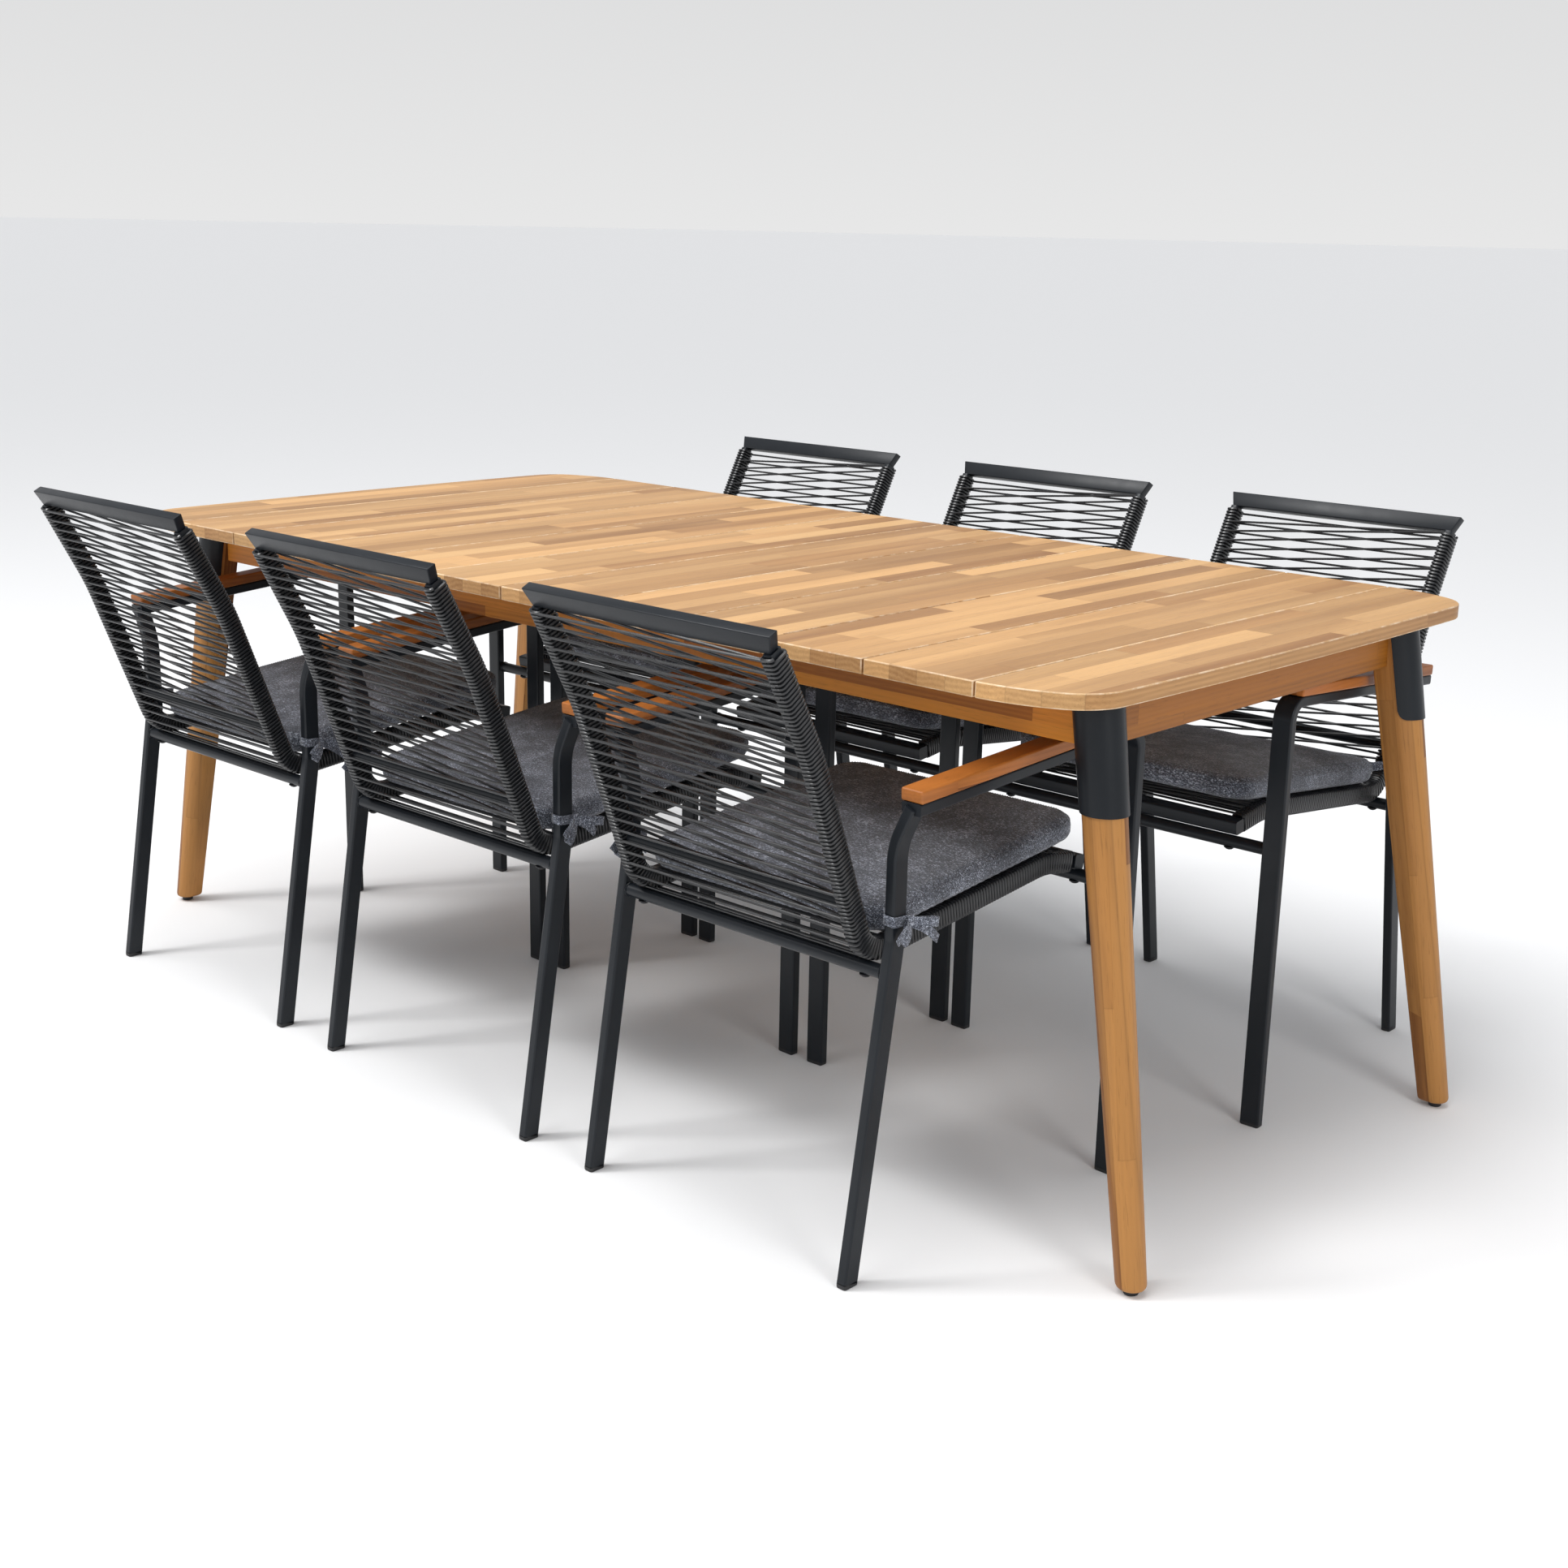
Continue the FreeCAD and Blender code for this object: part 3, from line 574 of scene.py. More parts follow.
def end_board_outline():
    """Plan of the last board at +X, clockwise from its straight edge's far corner."""
    run, inset = SIDE_CURVE
    radius = (run * run + inset * inset) / (2 * inset)
    half_turn = asin(run / radius) / 2
    start = (SIDE_STRAIGHT, TOP_SIDE)
    middle = (SIDE_STRAIGHT + radius * sin(half_turn),
              TOP_SIDE - radius * (1 - cos(half_turn)))
    curve = (SIDE_STRAIGHT + run, TOP_SIDE - inset)
    corner = (END_X - END_BULGE, curve[1] - CORNER_RUN)
    chord = np.array([corner[0] - curve[0], corner[1] - curve[1]])
    sagitta = np.linalg.norm(chord) / 2 * tan((pi / 2 - 2 * half_turn) / 4)
    outward = np.array([-chord[1], chord[0]]) / np.linalg.norm(chord)
    crown = (np.array(curve) + np.array(corner)) / 2 + outward * sagitta
    quarter = [(SIDE_STRAIGHT + BOARD_GAP / 2, TOP_SIDE)]
    side = arc_points(start, middle, curve, 10)
    quarter += [p for p in side if p[0] > quarter[0][0]]
    quarter += arc_points(curve, tuple(crown), corner, 12)
    end = arc_points(corner, (END_X, 0.0), (corner[0], -corner[1]), 16)
    return quarter + end + [(x, -y) for x, y in reversed(quarter[:-1])]


def board_mesh(name, outline):
    """A board of the outline's plan, its rims eased; the eased faces take the paler rim wood, a
    painted highlight along the edges with some wear.
    """
    work = bmesh.new()
    low, high = [[work.verts.new((x, y, z)) for x, y in outline]
                 for z in (TOP_HEIGHT - BOARD_THICK, TOP_HEIGHT)]
    work.faces.new(low)
    work.faces.new(high)
    for i in range(len(outline)):
        j = (i + 1) % len(outline)
        work.faces.new([low[i], low[j], high[j], high[i]])
    bmesh.ops.recalc_face_normals(work, faces=work.faces)
    rims = [e for e in work.edges if e.calc_face_angle(0) > radians(50)]
    bmesh.ops.bevel(work, geom=rims, offset=0.0016, segments=3, profile=0.5, affect="EDGES",
                    clamp_overlap=True, material=1)
    mesh = bpy.data.meshes.new(name)
    work.to_mesh(mesh)
    work.free()
    mesh.materials.append(TOP_WOOD)
    mesh.materials.append(TOP_EDGE_HIGHLIGHT)
    mesh.shade_smooth()
    mesh.set_sharp_from_angle(angle=radians(50))
    return mesh


def add_boards():
    """Twelve boards across the table, each a piece of its own."""
    last = round(SIDE_STRAIGHT / BOARD_PITCH)
    end = end_board_outline()
    for number, i in enumerate(range(-last - 1, last + 1)):
        x0 = i * BOARD_PITCH + BOARD_GAP / 2
        x1 = (i + 1) * BOARD_PITCH - BOARD_GAP / 2
        outline = [(x0, -TOP_SIDE), (x1, -TOP_SIDE), (x1, TOP_SIDE), (x0, TOP_SIDE)]
        if i == last:
            outline = end
        elif i == -last - 1:
            outline = [(-x, y) for x, y in end]
        name = "board_%d" % number
        add_piece(name, board_mesh(name, outline), "table", "top_wood",
                  replaces=["table_boards"], weighted=True)


def add_battens_and_aprons():
    """Boards under the top: three battens, two side aprons and two end aprons."""
    under = TOP_HEIGHT - BOARD_THICK
    wide, thick = BATTEN
    shapes = [block((-APRON_END, y - wide / 2, under - thick), (APRON_END, y + wide / 2, under),
                    0.002) for y in (-BATTEN_SPACING, 0, BATTEN_SPACING)]
    table_piece("battens", joined(*shapes), APRON_WOOD, "frame_wood", "table_battens",
                weighted=True)
    reach_x = LEG_TOP[0] - APRON_HIDDEN
    reach_y = LEG_TOP[1] - APRON_HIDDEN
    for name, sign in (("near", -1), ("far", 1), ("left", -1), ("right", 1)):
        along_side = name in ("near", "far")
        inner = APRON_SIDE if along_side else APRON_END
        low, high = sorted((sign * inner, sign * (inner + APRON_THICK)))
        if along_side:
            corners = (-reach_x, low, under - APRON_TALL), (reach_x, high, under)
        else:
            corners = (low, -reach_y, under - APRON_TALL), (high, reach_y, under)
        # end aprons take the darker copy of the apron wood, painted shade on the end faces
        table_piece("apron_" + name, block(*corners, 0.0018),
                    APRON_WOOD if along_side else SHADED_END_APRON_WOOD, "frame_wood", "table_aprons",
                    weighted=True)


def leg_at(height):
    """Middle and radius of the leg at +X +Y at a height."""
    share = (LEG_TOP[2] - height) / (LEG_TOP[2] - LEG_FOOT[2])
    x = LEG_TOP[0] + share * (LEG_FOOT[0] - LEG_TOP[0])
    y = LEG_TOP[1] + share * (LEG_FOOT[1] - LEG_TOP[1])
    return np.array([x, y, height]), LEG_RADII[0] + share * (LEG_RADII[1] - LEG_RADII[0])


def leg_section(radius):
    """Round outside, with a square inner corner slightly softened where it meets the round."""
    start, end = radians(-80), radians(170)
    points = [(radius * cos(start + (end - start) * i / 40),
               radius * sin(start + (end - start) * i / 40)) for i in range(41)]
    inner = (radius * cos(end), radius * sin(start))
    soft = 0.0025
    points += [(inner[0], inner[1] + soft), (inner[0] + 0.3 * soft, inner[1] + 0.3 * soft),
               (inner[0] + soft, inner[1])]
    return np.array(points)


def leg_shape():
    """Rings down the splayed, tapered leg, with a rounded foot."""
    rounding = [(0.0, 0.80), (0.0008, 0.87), (0.0022, 0.935), (0.0042, 0.98), (0.0065, 1.0)]
    rings = [(LEG_FOOT[2] + rise, scale) for rise, scale in rounding]
    rings += [(LEG_FOOT[2] + 0.12 * i, 1.0) for i in range(1, 6)] + [(LEG_TOP[2], 1.0)]
    verts = []
    for height, scale in rings:
        middle, radius = leg_at(height)
        section = leg_section(radius) * scale
        verts += [(middle[0] + u, middle[1] + v, height) for u, v in section]
    return np.array(verts), ring_faces(len(rings), len(section))


def sleeve_shape():
    """Half shell round the leg's outer side, its lower corners rounded."""
    start, end = radians(-78), radians(168)
    columns, rows = 48, 14
    corner = 0.012
    top = LEG_TOP[2]
    lowest_radius = leg_at(top - SLEEVE_LONG)[1]
    verts = []
    for layer in (SLEEVE_THICK, 0.0002):
        for row in range(rows + 1):
            for column in range(columns + 1):
                angle = start + (end - start) * column / columns
                from_edge = max(0.0, min(angle - start, end - angle) * lowest_radius)
                rise = 0.0
                if from_edge < corner:
                    rise = corner - sqrt(corner ** 2 - (corner - from_edge) ** 2)
                height = top - (SLEEVE_LONG - rise) * row / rows
                middle, radius = leg_at(height)
                out = np.array([cos(angle), sin(angle), 0])
                verts.append(middle + (radius + layer) * out)
    wide = columns + 1
    inner = (rows + 1) * wide
    faces = []
    for row in range(rows):
        for column in range(columns):
            a = row * wide + column
            faces.append([a, a + wide, a + wide + 1, a + 1])
            faces.append([inner + a, inner + a + 1, inner + a + wide + 1, inner + a + wide])
    rim = [(r, 0) for r in range(rows)] + [(rows, c) for c in range(columns)]
    rim += [(r, columns) for r in range(rows, 0, -1)] + [(0, c) for c in range(columns, 0, -1)]
    for (r0, c0), (r1, c1) in zip(rim, rim[1:] + rim[:1]):
        a, b = r0 * wide + c0, r1 * wide + c1
        faces.append([a, inner + a, inner + b, b])
    return np.array(verts), faces


def leg_frame(sx, sy):
    """Matrix whose Z axis runs up the leg, so that its grain follows it."""
    top = np.array([sx * LEG_TOP[0], sy * LEG_TOP[1], LEG_TOP[2]])
    foot = np.array([sx * LEG_FOOT[0], sy * LEG_FOOT[1], LEG_FOOT[2]])
    up = Vector(unit(top - foot))
    turn = Vector((0, 0, 1)).rotation_difference(up).to_matrix().to_4x4()
    return Matrix.Translation(Vector(foot)) @ turn


def add_legs():
    leg = leg_shape()
    sleeve = sleeve_shape()
    x, y = leg_at(LEG_FOOT[2])[0][:2]
    pad = sweep([(x, y, z) for z in (0.0, 0.0006, 0.0018, 0.0095)], circle(GLIDE_RADIUS, 28),
                side=X_WAY, scales=[0.90, 0.97, 1.0, 1.0])
    for sx, sy, name in ((1, 1, "far_right"), (-1, 1, "far_left"), (1, -1, "near_right"),
                         (-1, -1, "near_left")):
        place = leg_frame(sx, sy)
        table_piece("leg_" + name, moved(mirrored(leg, sx, sy), place.inverted()), LEG_WOOD,
                    "leg_wood", "table_legs", sharp=60, place=place)
        table_piece("sleeve_" + name, mirrored(sleeve, sx, sy), COAT, "frame", "leg_sleeves")
        table_piece("glide_" + name, mirrored(pad, sx, sy), PLUG_LOOK, "plug", "table_glides")


# ---------------- chair frames

ARM_TURN = atan2(FRONT_LEG[0] - ARM_REAR[0], FRONT_LEG[1] - ARM_REAR[1])
ARM_SLOPE = atan2(ARM_FRONT_HEIGHT - ARM_REAR[2], FRONT_LEG[1] - ARM_REAR[1])
ARM_SIDE = (cos(ARM_TURN), -sin(ARM_TURN), 0)
BAR_SECTION = rounded_rectangle(*BAR, TUBE_CORNER)
UPRIGHT_SECTION = rounded_rectangle(*UPRIGHT, TUBE_CORNER)


def side_frame():
    """Right side: front leg and arm bar in one flat tube, rear leg that hooks under it."""
    arm = rounded_path([(*FRONT_LEG, PLUG_TALL), (*FRONT_LEG, ARM_FRONT_HEIGHT), ARM_REAR], [0.025])
    low, high = HOOK
    corners = [(UPRIGHT_X, REAR_FOOT_Y, PLUG_TALL), (UPRIGHT_X, UPRIGHT_Y, KNEE_HEIGHT),
               (UPRIGHT_X, UPRIGHT_Y, low), (ARM_REAR[0], UPRIGHT_Y, high)]
    upright = rounded_path(corners, [0.030, 0.090], radians(4))
    return joined(sweep(arm, BAR_SECTION, side=ARM_SIDE),
                  sweep(upright, UPRIGHT_SECTION, side=X_WAY))


def bead(centre, axis, radius):
    """Weld bead: a small uneven ring round a tube's end."""
    axis = unit(np.array(axis, float))
    first = unit(np.cross(axis, (0.31, 0.27, 0.91)))
    second = np.cross(axis, first)
    verts = []
    faces = []
    rounds, sides = 40, 6
    for i in range(rounds):
        a = 2 * pi * i / rounds
        out = first * cos(a) + second * sin(a)
        swell = WELD * (1 + 0.22 * sin(9 * a) + 0.12 * sin(23 * a))
        following = (i + 1) % rounds * sides
        for j in range(sides):
            b = 2 * pi * j / sides
            verts.append(centre + out * (radius + swell * cos(b)) + axis * swell * sin(b))
            k = (j + 1) % sides
            faces.append([i * sides + j, following + j, following + k, i * sides + k])
    return np.array(verts), faces


def cross_rails():
    shapes = []
    for (y, z), reach in ((REAR_CROSS, UPRIGHT_X - UPRIGHT[0] / 2),
                          (FRONT_CROSS, FRONT_LEG[0] - BAR[0] / 2)):
        path = [(-reach - 0.001, y, z), (reach + 0.001, y, z)]
        shapes.append(sweep(path, circle(CROSS_RADIUS, 28), side=Z_WAY))
        for end in (0.001 - reach, reach - 0.001):
            shapes.append(bead(np.array([end, y, z]), X_WAY, CROSS_RADIUS))
    return joined(*shapes)


def bolts():
    """Washers and domed heads under the cross rails."""
    shapes = []
    for y, z in (REAR_CROSS, FRONT_CROSS):
        bottom = z - CROSS_RADIUS + 0.0006
        for x in (-BOLT_X, BOLT_X):
            shapes.append(sweep([(x, y, bottom), (x, y, bottom - 0.0012)], circle(0.0078, 24),
                                side=X_WAY))
            shapes.append(dome(0.0062, 0.0036, (x, y, bottom - 0.0010)))
    return joined(*shapes)


def foot_plugs():
    """Plugs with a small rounded lip at the end of each leg."""
    heights = (0.0, 0.0006, 0.0018, PLUG_TALL + 0.001)
    scales = (0.90, 0.965, 1.0, 1.0)
    rear = sweep([(UPRIGHT_X, REAR_FOOT_Y, z) for z in heights], UPRIGHT_SECTION, side=X_WAY,
                 scales=scales)
    front = sweep([(*FRONT_LEG, z) for z in heights], BAR_SECTION, side=ARM_SIDE, scales=scales)
    return joined(rear, mirrored(rear), front, mirrored(front))


def armrests():
    wide, long, thick = ARMREST
    board = block((-wide / 2, 0, 0), (wide / 2, long, thick), 0.0028, 4)
    lift = BAR[1] / 2 / cos(ARM_SLOPE)
    place = (Matrix.Translation((ARM_REAR[0], ARM_REAR[1], ARM_REAR[2] + lift))
             @ Matrix.Rotation(-ARM_TURN, 4, "Z") @ Matrix.Rotation(ARM_SLOPE, 4, "X"))
    return both_sides(moved(board, place))


# ---------------- seat and back rails, cord

RAIL_PATH = rounded_path([(0, y, z) for y, z in RAIL_LINE], RAIL_BENDS, radians(3))
RAIL_STEPS = distances(RAIL_PATH)
RAIL_TANGENTS = tangents_of(RAIL_PATH)
RAIL_TOTAL = RAIL_STEPS[-1]
SEAT_CORNER = np.array([0, *RAIL_LINE[2]])


def level_bar(middle, reach, section, side):
    """A straight bar across the chair."""
    return sweep([middle - (reach, 0, 0), middle + (reach, 0, 0)], section, side=side)


def rail_at(distance):
    """Points, directions and sitter-side normals of the rail's middle line."""
    distance = np.atleast_1d(distance)
    points, ways = [np.stack([np.interp(distance, RAIL_STEPS, line[:, i]) for i in range(3)], -1)
                    for line in (RAIL_PATH, RAIL_TANGENTS)]
    ways = unit(ways)
    return points, ways, np.cross(ways, X_WAY)


def seat_back_frame():
    """Two bent rails, the tapered head rail, the front rail and the lumbar rail."""
    rail = sweep(RAIL_PATH + (RAIL_X, 0, 0), rounded_rectangle(*RAIL, 0.002, 3), side=X_WAY)
    half, tall, thick, taper = HEAD_RAIL
    up = RAIL_TANGENTS[-1]
    out = np.cross(up, X_WAY)
    corners = [RAIL_PATH[-1] + up * rise + out * depth + np.array([x, 0, 0])
               for depth in (-thick / 2, thick / 2)
               for x, rise in ((-half + taper, 0), (half - taper, 0), (half, tall), (-half, tall))]
    way = -RAIL_TANGENTS[0]
    reach = RAIL_X + RAIL[0] / 2 + CORD
    front = level_bar(RAIL_PATH[0] + way * FRONT_RAIL / 2, reach,
                      rounded_rectangle(FRONT_RAIL, FRONT_RAIL, 0.003), way)
    lumbar_way = unit(np.array([0, *RAIL_LINE[3]]) - SEAT_CORNER)
    lumbar = level_bar(SEAT_CORNER + lumbar_way * LUMBAR_ALONG, RAIL_X,
                       circle(LUMBAR_RADIUS, 24), Z_WAY)
    return joined(both_sides(rail), eased(corners, 0.0015), front, lumbar)


def winding(side):
    """One cord wound turn by turn along the whole rail at x = side * RAIL_X."""
    outline = np.array(rounded_rectangle(RAIL[0] + CORD, RAIL[1] + CORD, 0.0036, 2))
    round_it = distances(np.vstack([outline, outline[:1]]))
    share = round_it[:-1] / round_it[-1]
    margin = CORD * 0.6
    turns = int((RAIL_TOTAL - 2 * margin) / CORD_PITCH)
    pitch = (RAIL_TOTAL - 2 * margin) / turns
    distance = (margin + (np.arange(turns)[:, None] + share[None, :]) * pitch).ravel()
    offsets = np.tile(outline, (turns, 1))
    points, ways, normals = rail_at(distance)
    points[:, 0] = side * RAIL_X + side * offsets[:, 0]
    points += normals * offsets[:, 1:]
    return sweep(points, circle(CORD / 2, 6), sides=ways)


def strand(left, right, layer, rng):
    """A cord across the chair, from the winding at distance left on one rail to the other's."""
    flat = RAIL_X - RAIL[0] / 2
    across = np.array([-RAIL_X, -flat, -0.75 * flat, -0.4 * flat, 0.0, 0.4 * flat, 0.75 * flat,
                       flat, RAIL_X])
    share = np.clip((across + flat) / (2 * flat), 0, 1)
    points, _, normals = rail_at([left, right])
    first, last = points + normals * layer
    line = first + (last - first) * share[:, None]
    line[:, 0] = across
    sag = rng.uniform(-0.0008, 0.0008) * np.sin(pi * share)
    line += rail_at(left + (right - left) * share)[1] * sag[:, None]
    sides = np.tile(unit(normals[0] + normals[1]), (len(line), 1))
    return sweep(line, circle(STRAND / 2, 8), sides=sides)


def strand_runs():
    """Distances along the rail where cords cross, on the seat and on the back."""
    bend = RAIL_STEPS[np.argmin(np.abs(RAIL_PATH[:, 1] - RAIL_LINE[2][0])
                                + np.abs(RAIL_PATH[:, 2] - RAIL_LINE[2][1]))]
    return (0.010, bend - 0.012), (bend + 0.014, RAIL_TOTAL - 0.006)


def strands():
    """Level cords on the outer face and slanting cords on the sitter's face."""
    rng = random.Random(3)
    layer = RAIL[1] / 2 + CORD / 2
    shapes = []
    for low, high in strand_runs():
        count = int((high - low) / STRAND_EVERY)
        for i in range(count + 1):
            middle = low + (high - low) * i / count + rng.uniform(-0.0005, 0.0005)
            shapes.append(strand(middle, middle, -layer, rng))
            left = min(high, max(low, middle + CROSSING))
            right = min(high, max(low, middle - CROSSING))
            shapes.append(strand(left, right, layer, rng))
    return joined(*shapes)


def cord_weave():
    return joined(winding(1), winding(-1), strands())


# ---------------- cushion

CLOTH_SETTINGS = {"quality": 5, "mass": 0.3, "tension_stiffness": 12, "compression_stiffness": 12,
                  "bending_stiffness": 0.6, "use_pressure": True, "uniform_pressure_force": 4.0,
                  "vertex_group_mass": "seams"}
CLOTH_FRAMES = 20
MOST_SWELL = 0.010
STITCHES = 360
STITCH_ROWS = ((0.013, 0.0), (0.002, 0.010))
SEAT_WAY = unit(np.array([0, *RAIL_LINE[1]]) - SEAT_CORNER)


def cushion_place():
    """Matrix from the cushion's flat frame (origin at its lower rear middle) to the chair."""
    along = (CUSHION_REAR - SEAT_CORNER[1]) / SEAT_WAY[1]
    normal = np.array([0, -SEAT_WAY[2], SEAT_WAY[1]])
    rear = SEAT_CORNER + SEAT_WAY * along + normal * (RAIL[1] / 2 + CUSHION_LIFT)
    tilt = atan2(SEAT_WAY[2], SEAT_WAY[1])
    return Matrix.Translation(Vector(rear)) @ Matrix.Rotation(tilt, 4, "X")


def plan_distance(x, y, wide, deep, corner):
    """How far inside a round-cornered rectangle centred on the origin a point lies."""
    px = abs(x) - (wide / 2 - corner)
    py = abs(y) - (deep / 2 - corner)
    outside = hypot(max(px, 0), max(py, 0))
    return corner - outside - min(max(px, py), 0)


def cushion_block(inset):
    """Closed block with round corners and eased rims, inset all round, as a mesh."""
    wide, deep, thick = CUSHION
    plan = rounded_rectangle(wide - 2 * inset, deep - 2 * inset, CUSHION_CORNER, 8)
    rim = 0.010
    levels = [(0.0, rim), (rim * 0.3, rim * 0.3), (rim, 0.0)]
    rings = [(inset * 0.4 + z, cut) for z, cut in levels]
    rings += [(thick - inset - z, cut) for z, cut in reversed(levels)]
    verts = [(x * (1 - 2 * cut / wide), y * (1 - 2 * cut / deep) + deep / 2, z)
             for z, cut in rings for x, y in plan]
    return plain_mesh("cushion_block", verts, ring_faces(len(rings), len(plan)))


def apply_modifiers(obj):
    depsgraph = bpy.context.evaluated_depsgraph_get()
    mesh = bpy.data.meshes.new_from_object(obj.evaluated_get(depsgraph))
    obj.modifiers.clear()
    obj.data = mesh
    return mesh


def seam_depth(x, y, z):
    """Nearness, from 0 to 1, to the two seams that run round the cushion's rims."""
    wide, deep, thick = CUSHION
    inside = plan_distance(x, y - deep / 2, wide, deep, CUSHION_CORNER)
    near_top = hypot(inside - 0.008, z - (thick - 0.006)) / 0.007
    near_low = hypot(inside - 0.008, z - 0.005) / 0.007
    return max(0.0, 1.0 - min(near_top, near_low))


def simulated_cushion(seed):
    """The pad, blown up as cloth between its sewn rims, crowned above and flat below."""
    obj = add_object("cushion_work", cushion_block(0.004))
    remesh = obj.modifiers.new("remesh", "REMESH")
    remesh.mode = "VOXEL"
    remesh.voxel_size = 0.0055
    mesh = apply_modifiers(obj)
    start = vectors(mesh.vertices)
    pins = obj.vertex_groups.new(name="seams")
    for index, spot in enumerate(start):
        weight = seam_depth(*spot)
        if weight > 0.05:
            pins.add([index], min(1.0, weight * 1.6), "REPLACE")
    cloth = obj.modifiers.new("cloth", "CLOTH")
    for name, value in CLOTH_SETTINGS.items():
        setattr(cloth.settings, name, value)
    cloth.settings.effector_weights.gravity = 0
    cloth.point_cache.frame_end = CLOTH_FRAMES
    for frame_number in range(1, CLOTH_FRAMES + 1):
        bpy.context.scene.frame_set(frame_number)
    mesh = apply_modifiers(obj)
    bpy.context.scene.frame_set(1)
    change = vectors(mesh.vertices) - start
    reach = np.linalg.norm(change, axis=1)
    change *= np.minimum(1.0, MOST_SWELL / np.maximum(reach, 1e-9))[:, None]
    verts = start + change
    verts[:, 2] = np.maximum(verts[:, 2], 0.0006)
    faces = [list(p.vertices) for p in mesh.polygons]
    bpy.data.objects.remove(obj)
    return finished_cushion(verts, faces, seed)


def finished_cushion(verts, faces, seed):
    """Adds sag, soft creases and puckers at the seams, then smooths and subdivides."""
    obj = add_object("cushion_finish", plain_mesh("cushion", verts.tolist(), faces))
    smooth = obj.modifiers.new("smooth", "SMOOTH")
    smooth.factor = 0.5
    smooth.iterations = 3
    divide = obj.modifiers.new("divide", "SUBSURF")
    divide.levels = divide.render_levels = 1
    mesh = apply_modifiers(obj)
    bpy.data.objects.remove(obj)
    rng = random.Random(seed)
    phases = [rng.uniform(0, 6.28) for _ in range(8)]
    wide, deep, thick = CUSHION
    verts = vectors(mesh.vertices)
    normals = vectors(mesh.vertices, "normal")
    for index, (x, y, z) in enumerate(verts):
        u, v = x / wide * 2, (y - deep / 2) / deep * 2
        move = 0.0
        if z > thick * 0.5:
            broad = sin(2.1 * u + phases[0]) * sin(1.7 * v + phases[1])
            crease = sin(9 * u + 3 * v + phases[2]) * sin(5 * v + phases[3])
            move += 0.0016 * broad + 0.0005 * crease
        groove = seam_depth(x, y, z)
        around = atan2(v, u)
        pucker = sin(95 * around + phases[4] + 2 * sin(7 * around + phases[5]))
        move -= 0.0012 * groove + 0.00035 * pucker * min(1.0, 2.2 * groove)
        verts[index] += normals[index] * move
    verts[:, 2] = np.maximum(verts[:, 2], 0.0004)
    mesh.vertices.foreach_set("co", verts.ravel())
    mesh.materials.append(CLOTH)
    mesh.shade_smooth()
    mesh.update()
    return mesh


def perimeter(inset, count):
    """Evenly spaced points round the cushion's plan, inset from its edge."""
    wide, deep = CUSHION[:2]
    plan = rounded_rectangle(wide - 2 * inset, deep - 2 * inset, CUSHION_CORNER - inset, 10)
    loop = np.array(plan + plan[:1])
    steps = distances(loop)
    spots = np.arange(count) / count * steps[-1]
    return np.stack([np.interp(spots, steps, loop[:, i]) for i in range(2)], -1)


def stitches(mesh):
    """Two rows of short stitches round the cushion's upper rim, on its top and on its border."""
    tree = BVHTree.FromPolygons([v.co for v in mesh.vertices],
                                [list(p.vertices) for p in mesh.polygons])
    shapes = []
    for inset, drop in STITCH_ROWS:
        ring = perimeter(inset, STITCHES * 2)
        for i in range(0, STITCHES * 2, 2):
            ends = [tree.find_nearest(Vector((x, y + CUSHION[1] / 2, CUSHION[2] - drop)))
                    for x, y in ring[i:i + 2]]
            start, end = [np.array(end[0]) for end in ends]
            out = unit(np.array(ends[0][1]) + np.array(ends[1][1]))
            middle = (start + end) / 2 + out * 0.0005
            shapes.append(sweep([start - out * 0.0003, middle, end - out * 0.0003],
                                circle(0.00045, 5), side=out))
    return mesh_of("stitches", joined(*shapes), THREAD)


# ---------------- cushion ties

TIE_HEIGHT = 0.452
# each loop or tail: its turn about the upright, its slope and its length
LOOPS = ((0.25, -0.15, 0.038), (-2.3, -0.85, 0.032))
TAILS = ((-0.1, -0.55, 0.042), (2.7, -0.35, 0.030))
# shares of the length with the distance out from the knot, and for a tail its drop
LOOP_LINE = ((0, 0), (0.45, 0.006), (0.9, 0.005), (1, 0.001), (0.88, -0.001), (0.4, 0.0005), (0, 0))
TAIL_LINE = ((0, 0.001, 0), (0.35, 0.005, 0), (0.7, 0.006, 0.002), (1, 0.004, 0.006))


def ribbon(points, sides, width=0.013, thick=0.0011):
    """A flat fabric band along the points; sides give the band's width direction."""
    path = smooth_line(np.array(points, float), 6)
    wide = smooth_line(np.array(sides, float), 6)
    return sweep(path, rounded_rectangle(width, thick, thick * 0.45, 2), sides=wide)


def smooth_line(points, steps):
    """Catmull-Rom curve through the points."""
    padded = np.vstack([2 * points[0] - points[1], points, 2 * points[-1] - points[-2]])
    line = []
    for a, b, c, d in zip(padded, padded[1:], padded[2:], padded[3:]):
        for i in range(steps):
            t = i / steps
            line.append(0.5 * (2 * b + (c - a) * t + (2 * a - 5 * b + 4 * c - d) * t * t
                               + (3 * b - a - 3 * c + d) * t ** 3))
    line.append(points[-1])
    return np.array(line)


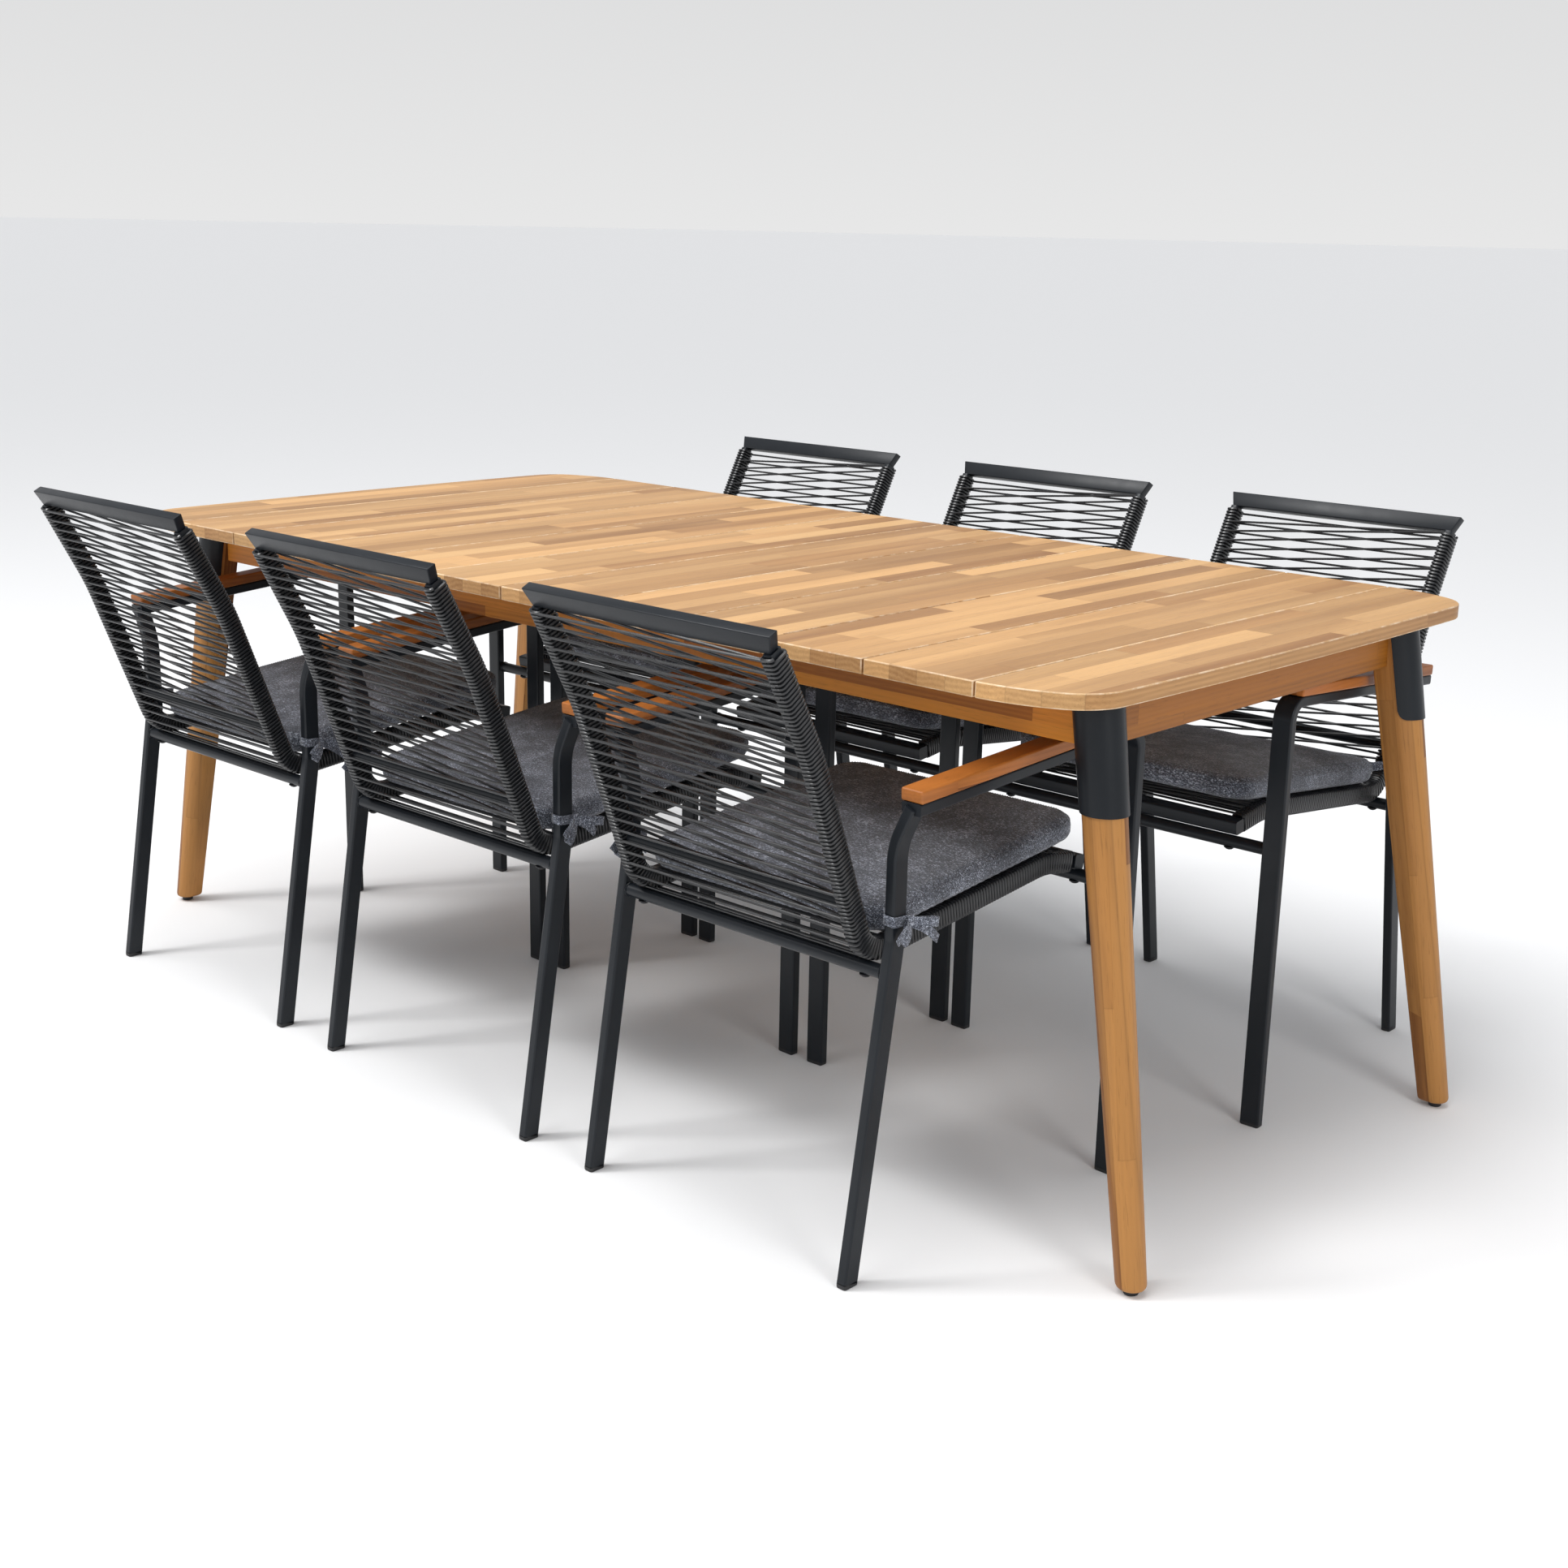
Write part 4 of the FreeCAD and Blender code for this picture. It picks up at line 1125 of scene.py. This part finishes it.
def bow(rng):
    """Band round the right upright with a knot, two loops and two tails, and its tab."""
    out, up = np.array(X_WAY), np.array(Z_WAY)
    height, gap = TIE_HEIGHT, 0.0012
    x0, x1 = UPRIGHT_X - UPRIGHT[0] / 2, UPRIGHT_X + UPRIGHT[0] / 2
    y0, y1 = UPRIGHT_Y - UPRIGHT[1] / 2, UPRIGHT_Y + UPRIGHT[1] / 2
    knot = np.array([x1 + 0.0035, y1 - 0.001, height - 0.001])
    ring = [(x1 + gap, y1 - 0.002, height), (x1 + gap, y0 + 0.004, height + 0.001),
            (x1 - 0.002, y0 - gap, height + 0.002), (x0 + 0.002, y0 - gap, height + 0.003),
            (x0 - gap, y0 + 0.004, height + 0.003), (x0 - gap, y1 - 0.004, height + 0.002),
            (x0 + 0.002, y1 + gap, height + 0.001), (x1 - 0.002, y1 + gap, height),
            (x1 + gap, y1 - 0.001, height)]
    lean = [unit(up + 0.05 * np.array([rng.uniform(-1, 1), rng.uniform(-1, 1), 0]))
            for _ in ring]
    shapes = [ribbon(ring, lean)]
    for angle, tilt, long in LOOPS:
        long *= rng.uniform(0.85, 1.15)
        angle += rng.uniform(-0.2, 0.2)
        way = unit(np.array([0.25, cos(angle), 0]) + up * tilt)
        loop = [knot + way * long * share + out * lift for share, lift in LOOP_LINE]
        shapes.append(ribbon(loop, [unit(np.cross(way, out))] * len(loop), 0.012))
    for angle, tilt, long in TAILS:
        long *= rng.uniform(0.8, 1.2)
        angle += rng.uniform(-0.25, 0.25)
        way = unit(np.array([0.2, cos(angle), 0]) + up * tilt)
        broad = unit(np.cross(way, out))
        tail = [knot + way * long * share + out * lift - up * drop
                for share, lift, drop in TAIL_LINE]
        twist = [broad, unit(broad + 0.3 * out), unit(broad + 0.5 * up), unit(broad + 0.2 * out)]
        shapes.append(ribbon(tail, twist, 0.012))
    wrap = [knot + np.array([0.0045 * cos(a), 0.0015 * sin(a), 0.0068 * sin(a)])
            for a in np.linspace(0, 2 * pi, 9)]
    shapes.append(ribbon(wrap, [np.array([0.15, 1.0, 0.1])] * 9, 0.009, 0.0016))
    tab = [(0.186, 0.110, height - 0.004), (0.200, 0.101, height - 0.002),
           (0.2125, 0.094, height + 0.001), (x0 - gap, y0 + 0.012, height + 0.002)]
    shapes.append(ribbon(tab, [up] * len(tab), 0.014, 0.0014))
    return joined(*shapes)


# ---------------- setting out the chairs

def chair_place(chair):
    """Matrix from a chair's own frame to the set's, read from its foot plugs."""
    low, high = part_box(chair + "_foot_plugs")
    middle = (low[0] + high[0]) / 2
    near = chair.startswith("near")
    rear_edge = REAR_FOOT_Y - UPRIGHT[1] / 2
    y = low[1] - rear_edge if near else high[1] + rear_edge
    turn = 0.0 if near else pi
    return Matrix.Translation((middle, y, 0)) @ Matrix.Rotation(turn, 4, "Z")


def add_chairs():
    side = side_frame()
    pieces = [
        ("right_side", "side_frame_right", side, COAT, "frame"),
        ("left_side", "side_frame_left", mirrored(side), COAT, "frame"),
        ("cross_rails", "cross_rail_pair", cross_rails(), COAT, "frame"),
        ("seat_bolts", "bolt_heads", bolts(), BOLT_LOOK, "bolt"),
        ("foot_plugs", "plugs", foot_plugs(), PLUG_LOOK, "plug"),
        ("seat_back_frame", "rails", seat_back_frame(), COAT, "frame"),
        ("cord_weave", "cord", cord_weave(), CORD_LOOK, "cord"),
        ("armrests", "arm_boards", armrests(), ARM_WOOD, "armrest"),
    ]
    meshes = [(node, name, mesh_of(name, shape, material), slot)
              for node, name, shape, material, slot in pieces]
    cushions = [simulated_cushion(seed) for seed in (1, 2)]
    threads = [stitches(mesh) for mesh in cushions]
    seat = cushion_place()
    for number, chair in enumerate(CHAIRS):
        place = chair_place(chair)
        body = chair + "_chair"
        for node, name, mesh, slot in meshes:
            add_piece(chair + "_" + name, mesh, body, slot, place=place,
                      replaces=[chair + "_" + node], weighted=name.startswith(("side", "arm")))
        kind = number % len(cushions)
        pad = add_piece(chair + "_cushion", cushions[kind], body, "cushion", place=place @ seat,
                        replaces=[chair + "_seat_cushion"])
        add_piece(chair + "_stitches", threads[kind], body, "cushion", place=place @ seat)
        rng = random.Random(20 + number)
        ties = joined(bow(rng), mirrored(bow(rng)))
        add_piece(chair + "_ties", mesh_of(chair + "_ties", ties, TIE_CLOTH), body, "cushion",
                  place=place)


# ---------------- floor, light and camera

FLOOR_REACH = 400.0
CAMERA_PLACE = (2.2807, -2.3664, 1.2400)
CAMERA_TURN = (42.74, 15.0, 1.18)
LENS, SENSOR = 47.74, 36.0


def add_floor():
    verts = [(x, y, 0) for x in (-FLOOR_REACH, FLOOR_REACH) for y in (-FLOOR_REACH, FLOOR_REACH)]
    mesh = plain_mesh("floor", verts, [(0, 2, 3, 1)])
    mesh.materials.append(Shader("pale_floor").finish(Base_Color=(0.90, 0.90, 0.90, 1),
                                                      Roughness=0.95, Specular_IOR_Level=0.1))
    add_object("floor", mesh)


def aimed(name, data, way, position=(0, 0, 0)):
    """Sets a lamp at the position, shining the given way."""
    lamp = add_object(name, data)
    lamp.location = position
    lamp.rotation_euler = Vector(way).to_track_quat("-Z", "Y").to_euler()


def add_light(name, position, target, size, power):
    data = bpy.data.lights.new(name, "AREA")
    data.shape = "SQUARE"
    data.size = size
    data.energy = power
    aimed(name, data, Vector(target) - Vector(position), position)


def studio_world():
    """Soft white surroundings: pale at the horizon, dimmer overhead."""
    world = bpy.data.worlds.new("studio")
    world.use_nodes = True
    tree = world.node_tree
    place = tree.nodes.new("ShaderNodeTexCoord")
    split = tree.nodes.new("ShaderNodeSeparateXYZ")
    ramp = tree.nodes.new("ShaderNodeValToRGB")
    stops = ((0.0, (0.80, 0.80, 0.80, 1)), (0.60, (0.42, 0.43, 0.45, 1)))
    for element, (position, colour) in zip(ramp.color_ramp.elements, stops):
        element.position = position
        element.color = colour
    tree.links.new(place.outputs["Generated"], split.inputs[0])
    tree.links.new(split.outputs["Z"], ramp.inputs[0])
    tree.links.new(ramp.outputs[0], tree.nodes["Background"].inputs[0])
    bpy.context.scene.world = world


def add_lights():
    add_light("key", (-2.4, -3.4, 4.8), (0, 0, 0.4), 1.2, 130)
    add_light("top", (0.4, -0.4, 4.4), (0, 0, 0.5), 2.4, 60)
    add_light("right", (4.4, -1.4, 2.4), (0, 0, 0.5), 1.4, 45)
    sky = bpy.data.lights.new("sky", "SUN")
    sky.energy = 1.35
    sky.angle = radians(45)
    aimed("sky", sky, (0.30, 0.42, -1.0))
    studio_world()
    bpy.context.scene.view_settings.view_transform = "Standard"


def add_camera():
    """The view from the near right corner, 15 degrees down, with a slight roll."""
    azimuth, elevation, roll = [radians(angle) for angle in CAMERA_TURN]
    back = Vector((sin(azimuth) * cos(elevation),
                   -cos(azimuth) * cos(elevation), sin(elevation)))
    right = Vector((cos(azimuth), sin(azimuth), 0))
    up = back.cross(right)
    rolled_right = right * cos(roll) + up * sin(roll)
    rolled_up = up * cos(roll) - right * sin(roll)
    turn = Matrix((rolled_right, rolled_up, back)).transposed().to_4x4()
    data = bpy.data.cameras.new("camera")
    data.sensor_width = SENSOR
    data.lens = LENS
    camera = add_object("camera", data)
    camera.matrix_world = Matrix.Translation(CAMERA_PLACE) @ turn
    bpy.context.scene.camera = camera


add_camera()
add_floor()
add_lights()
add_boards()
add_battens_and_aprons()
add_legs()
add_chairs()
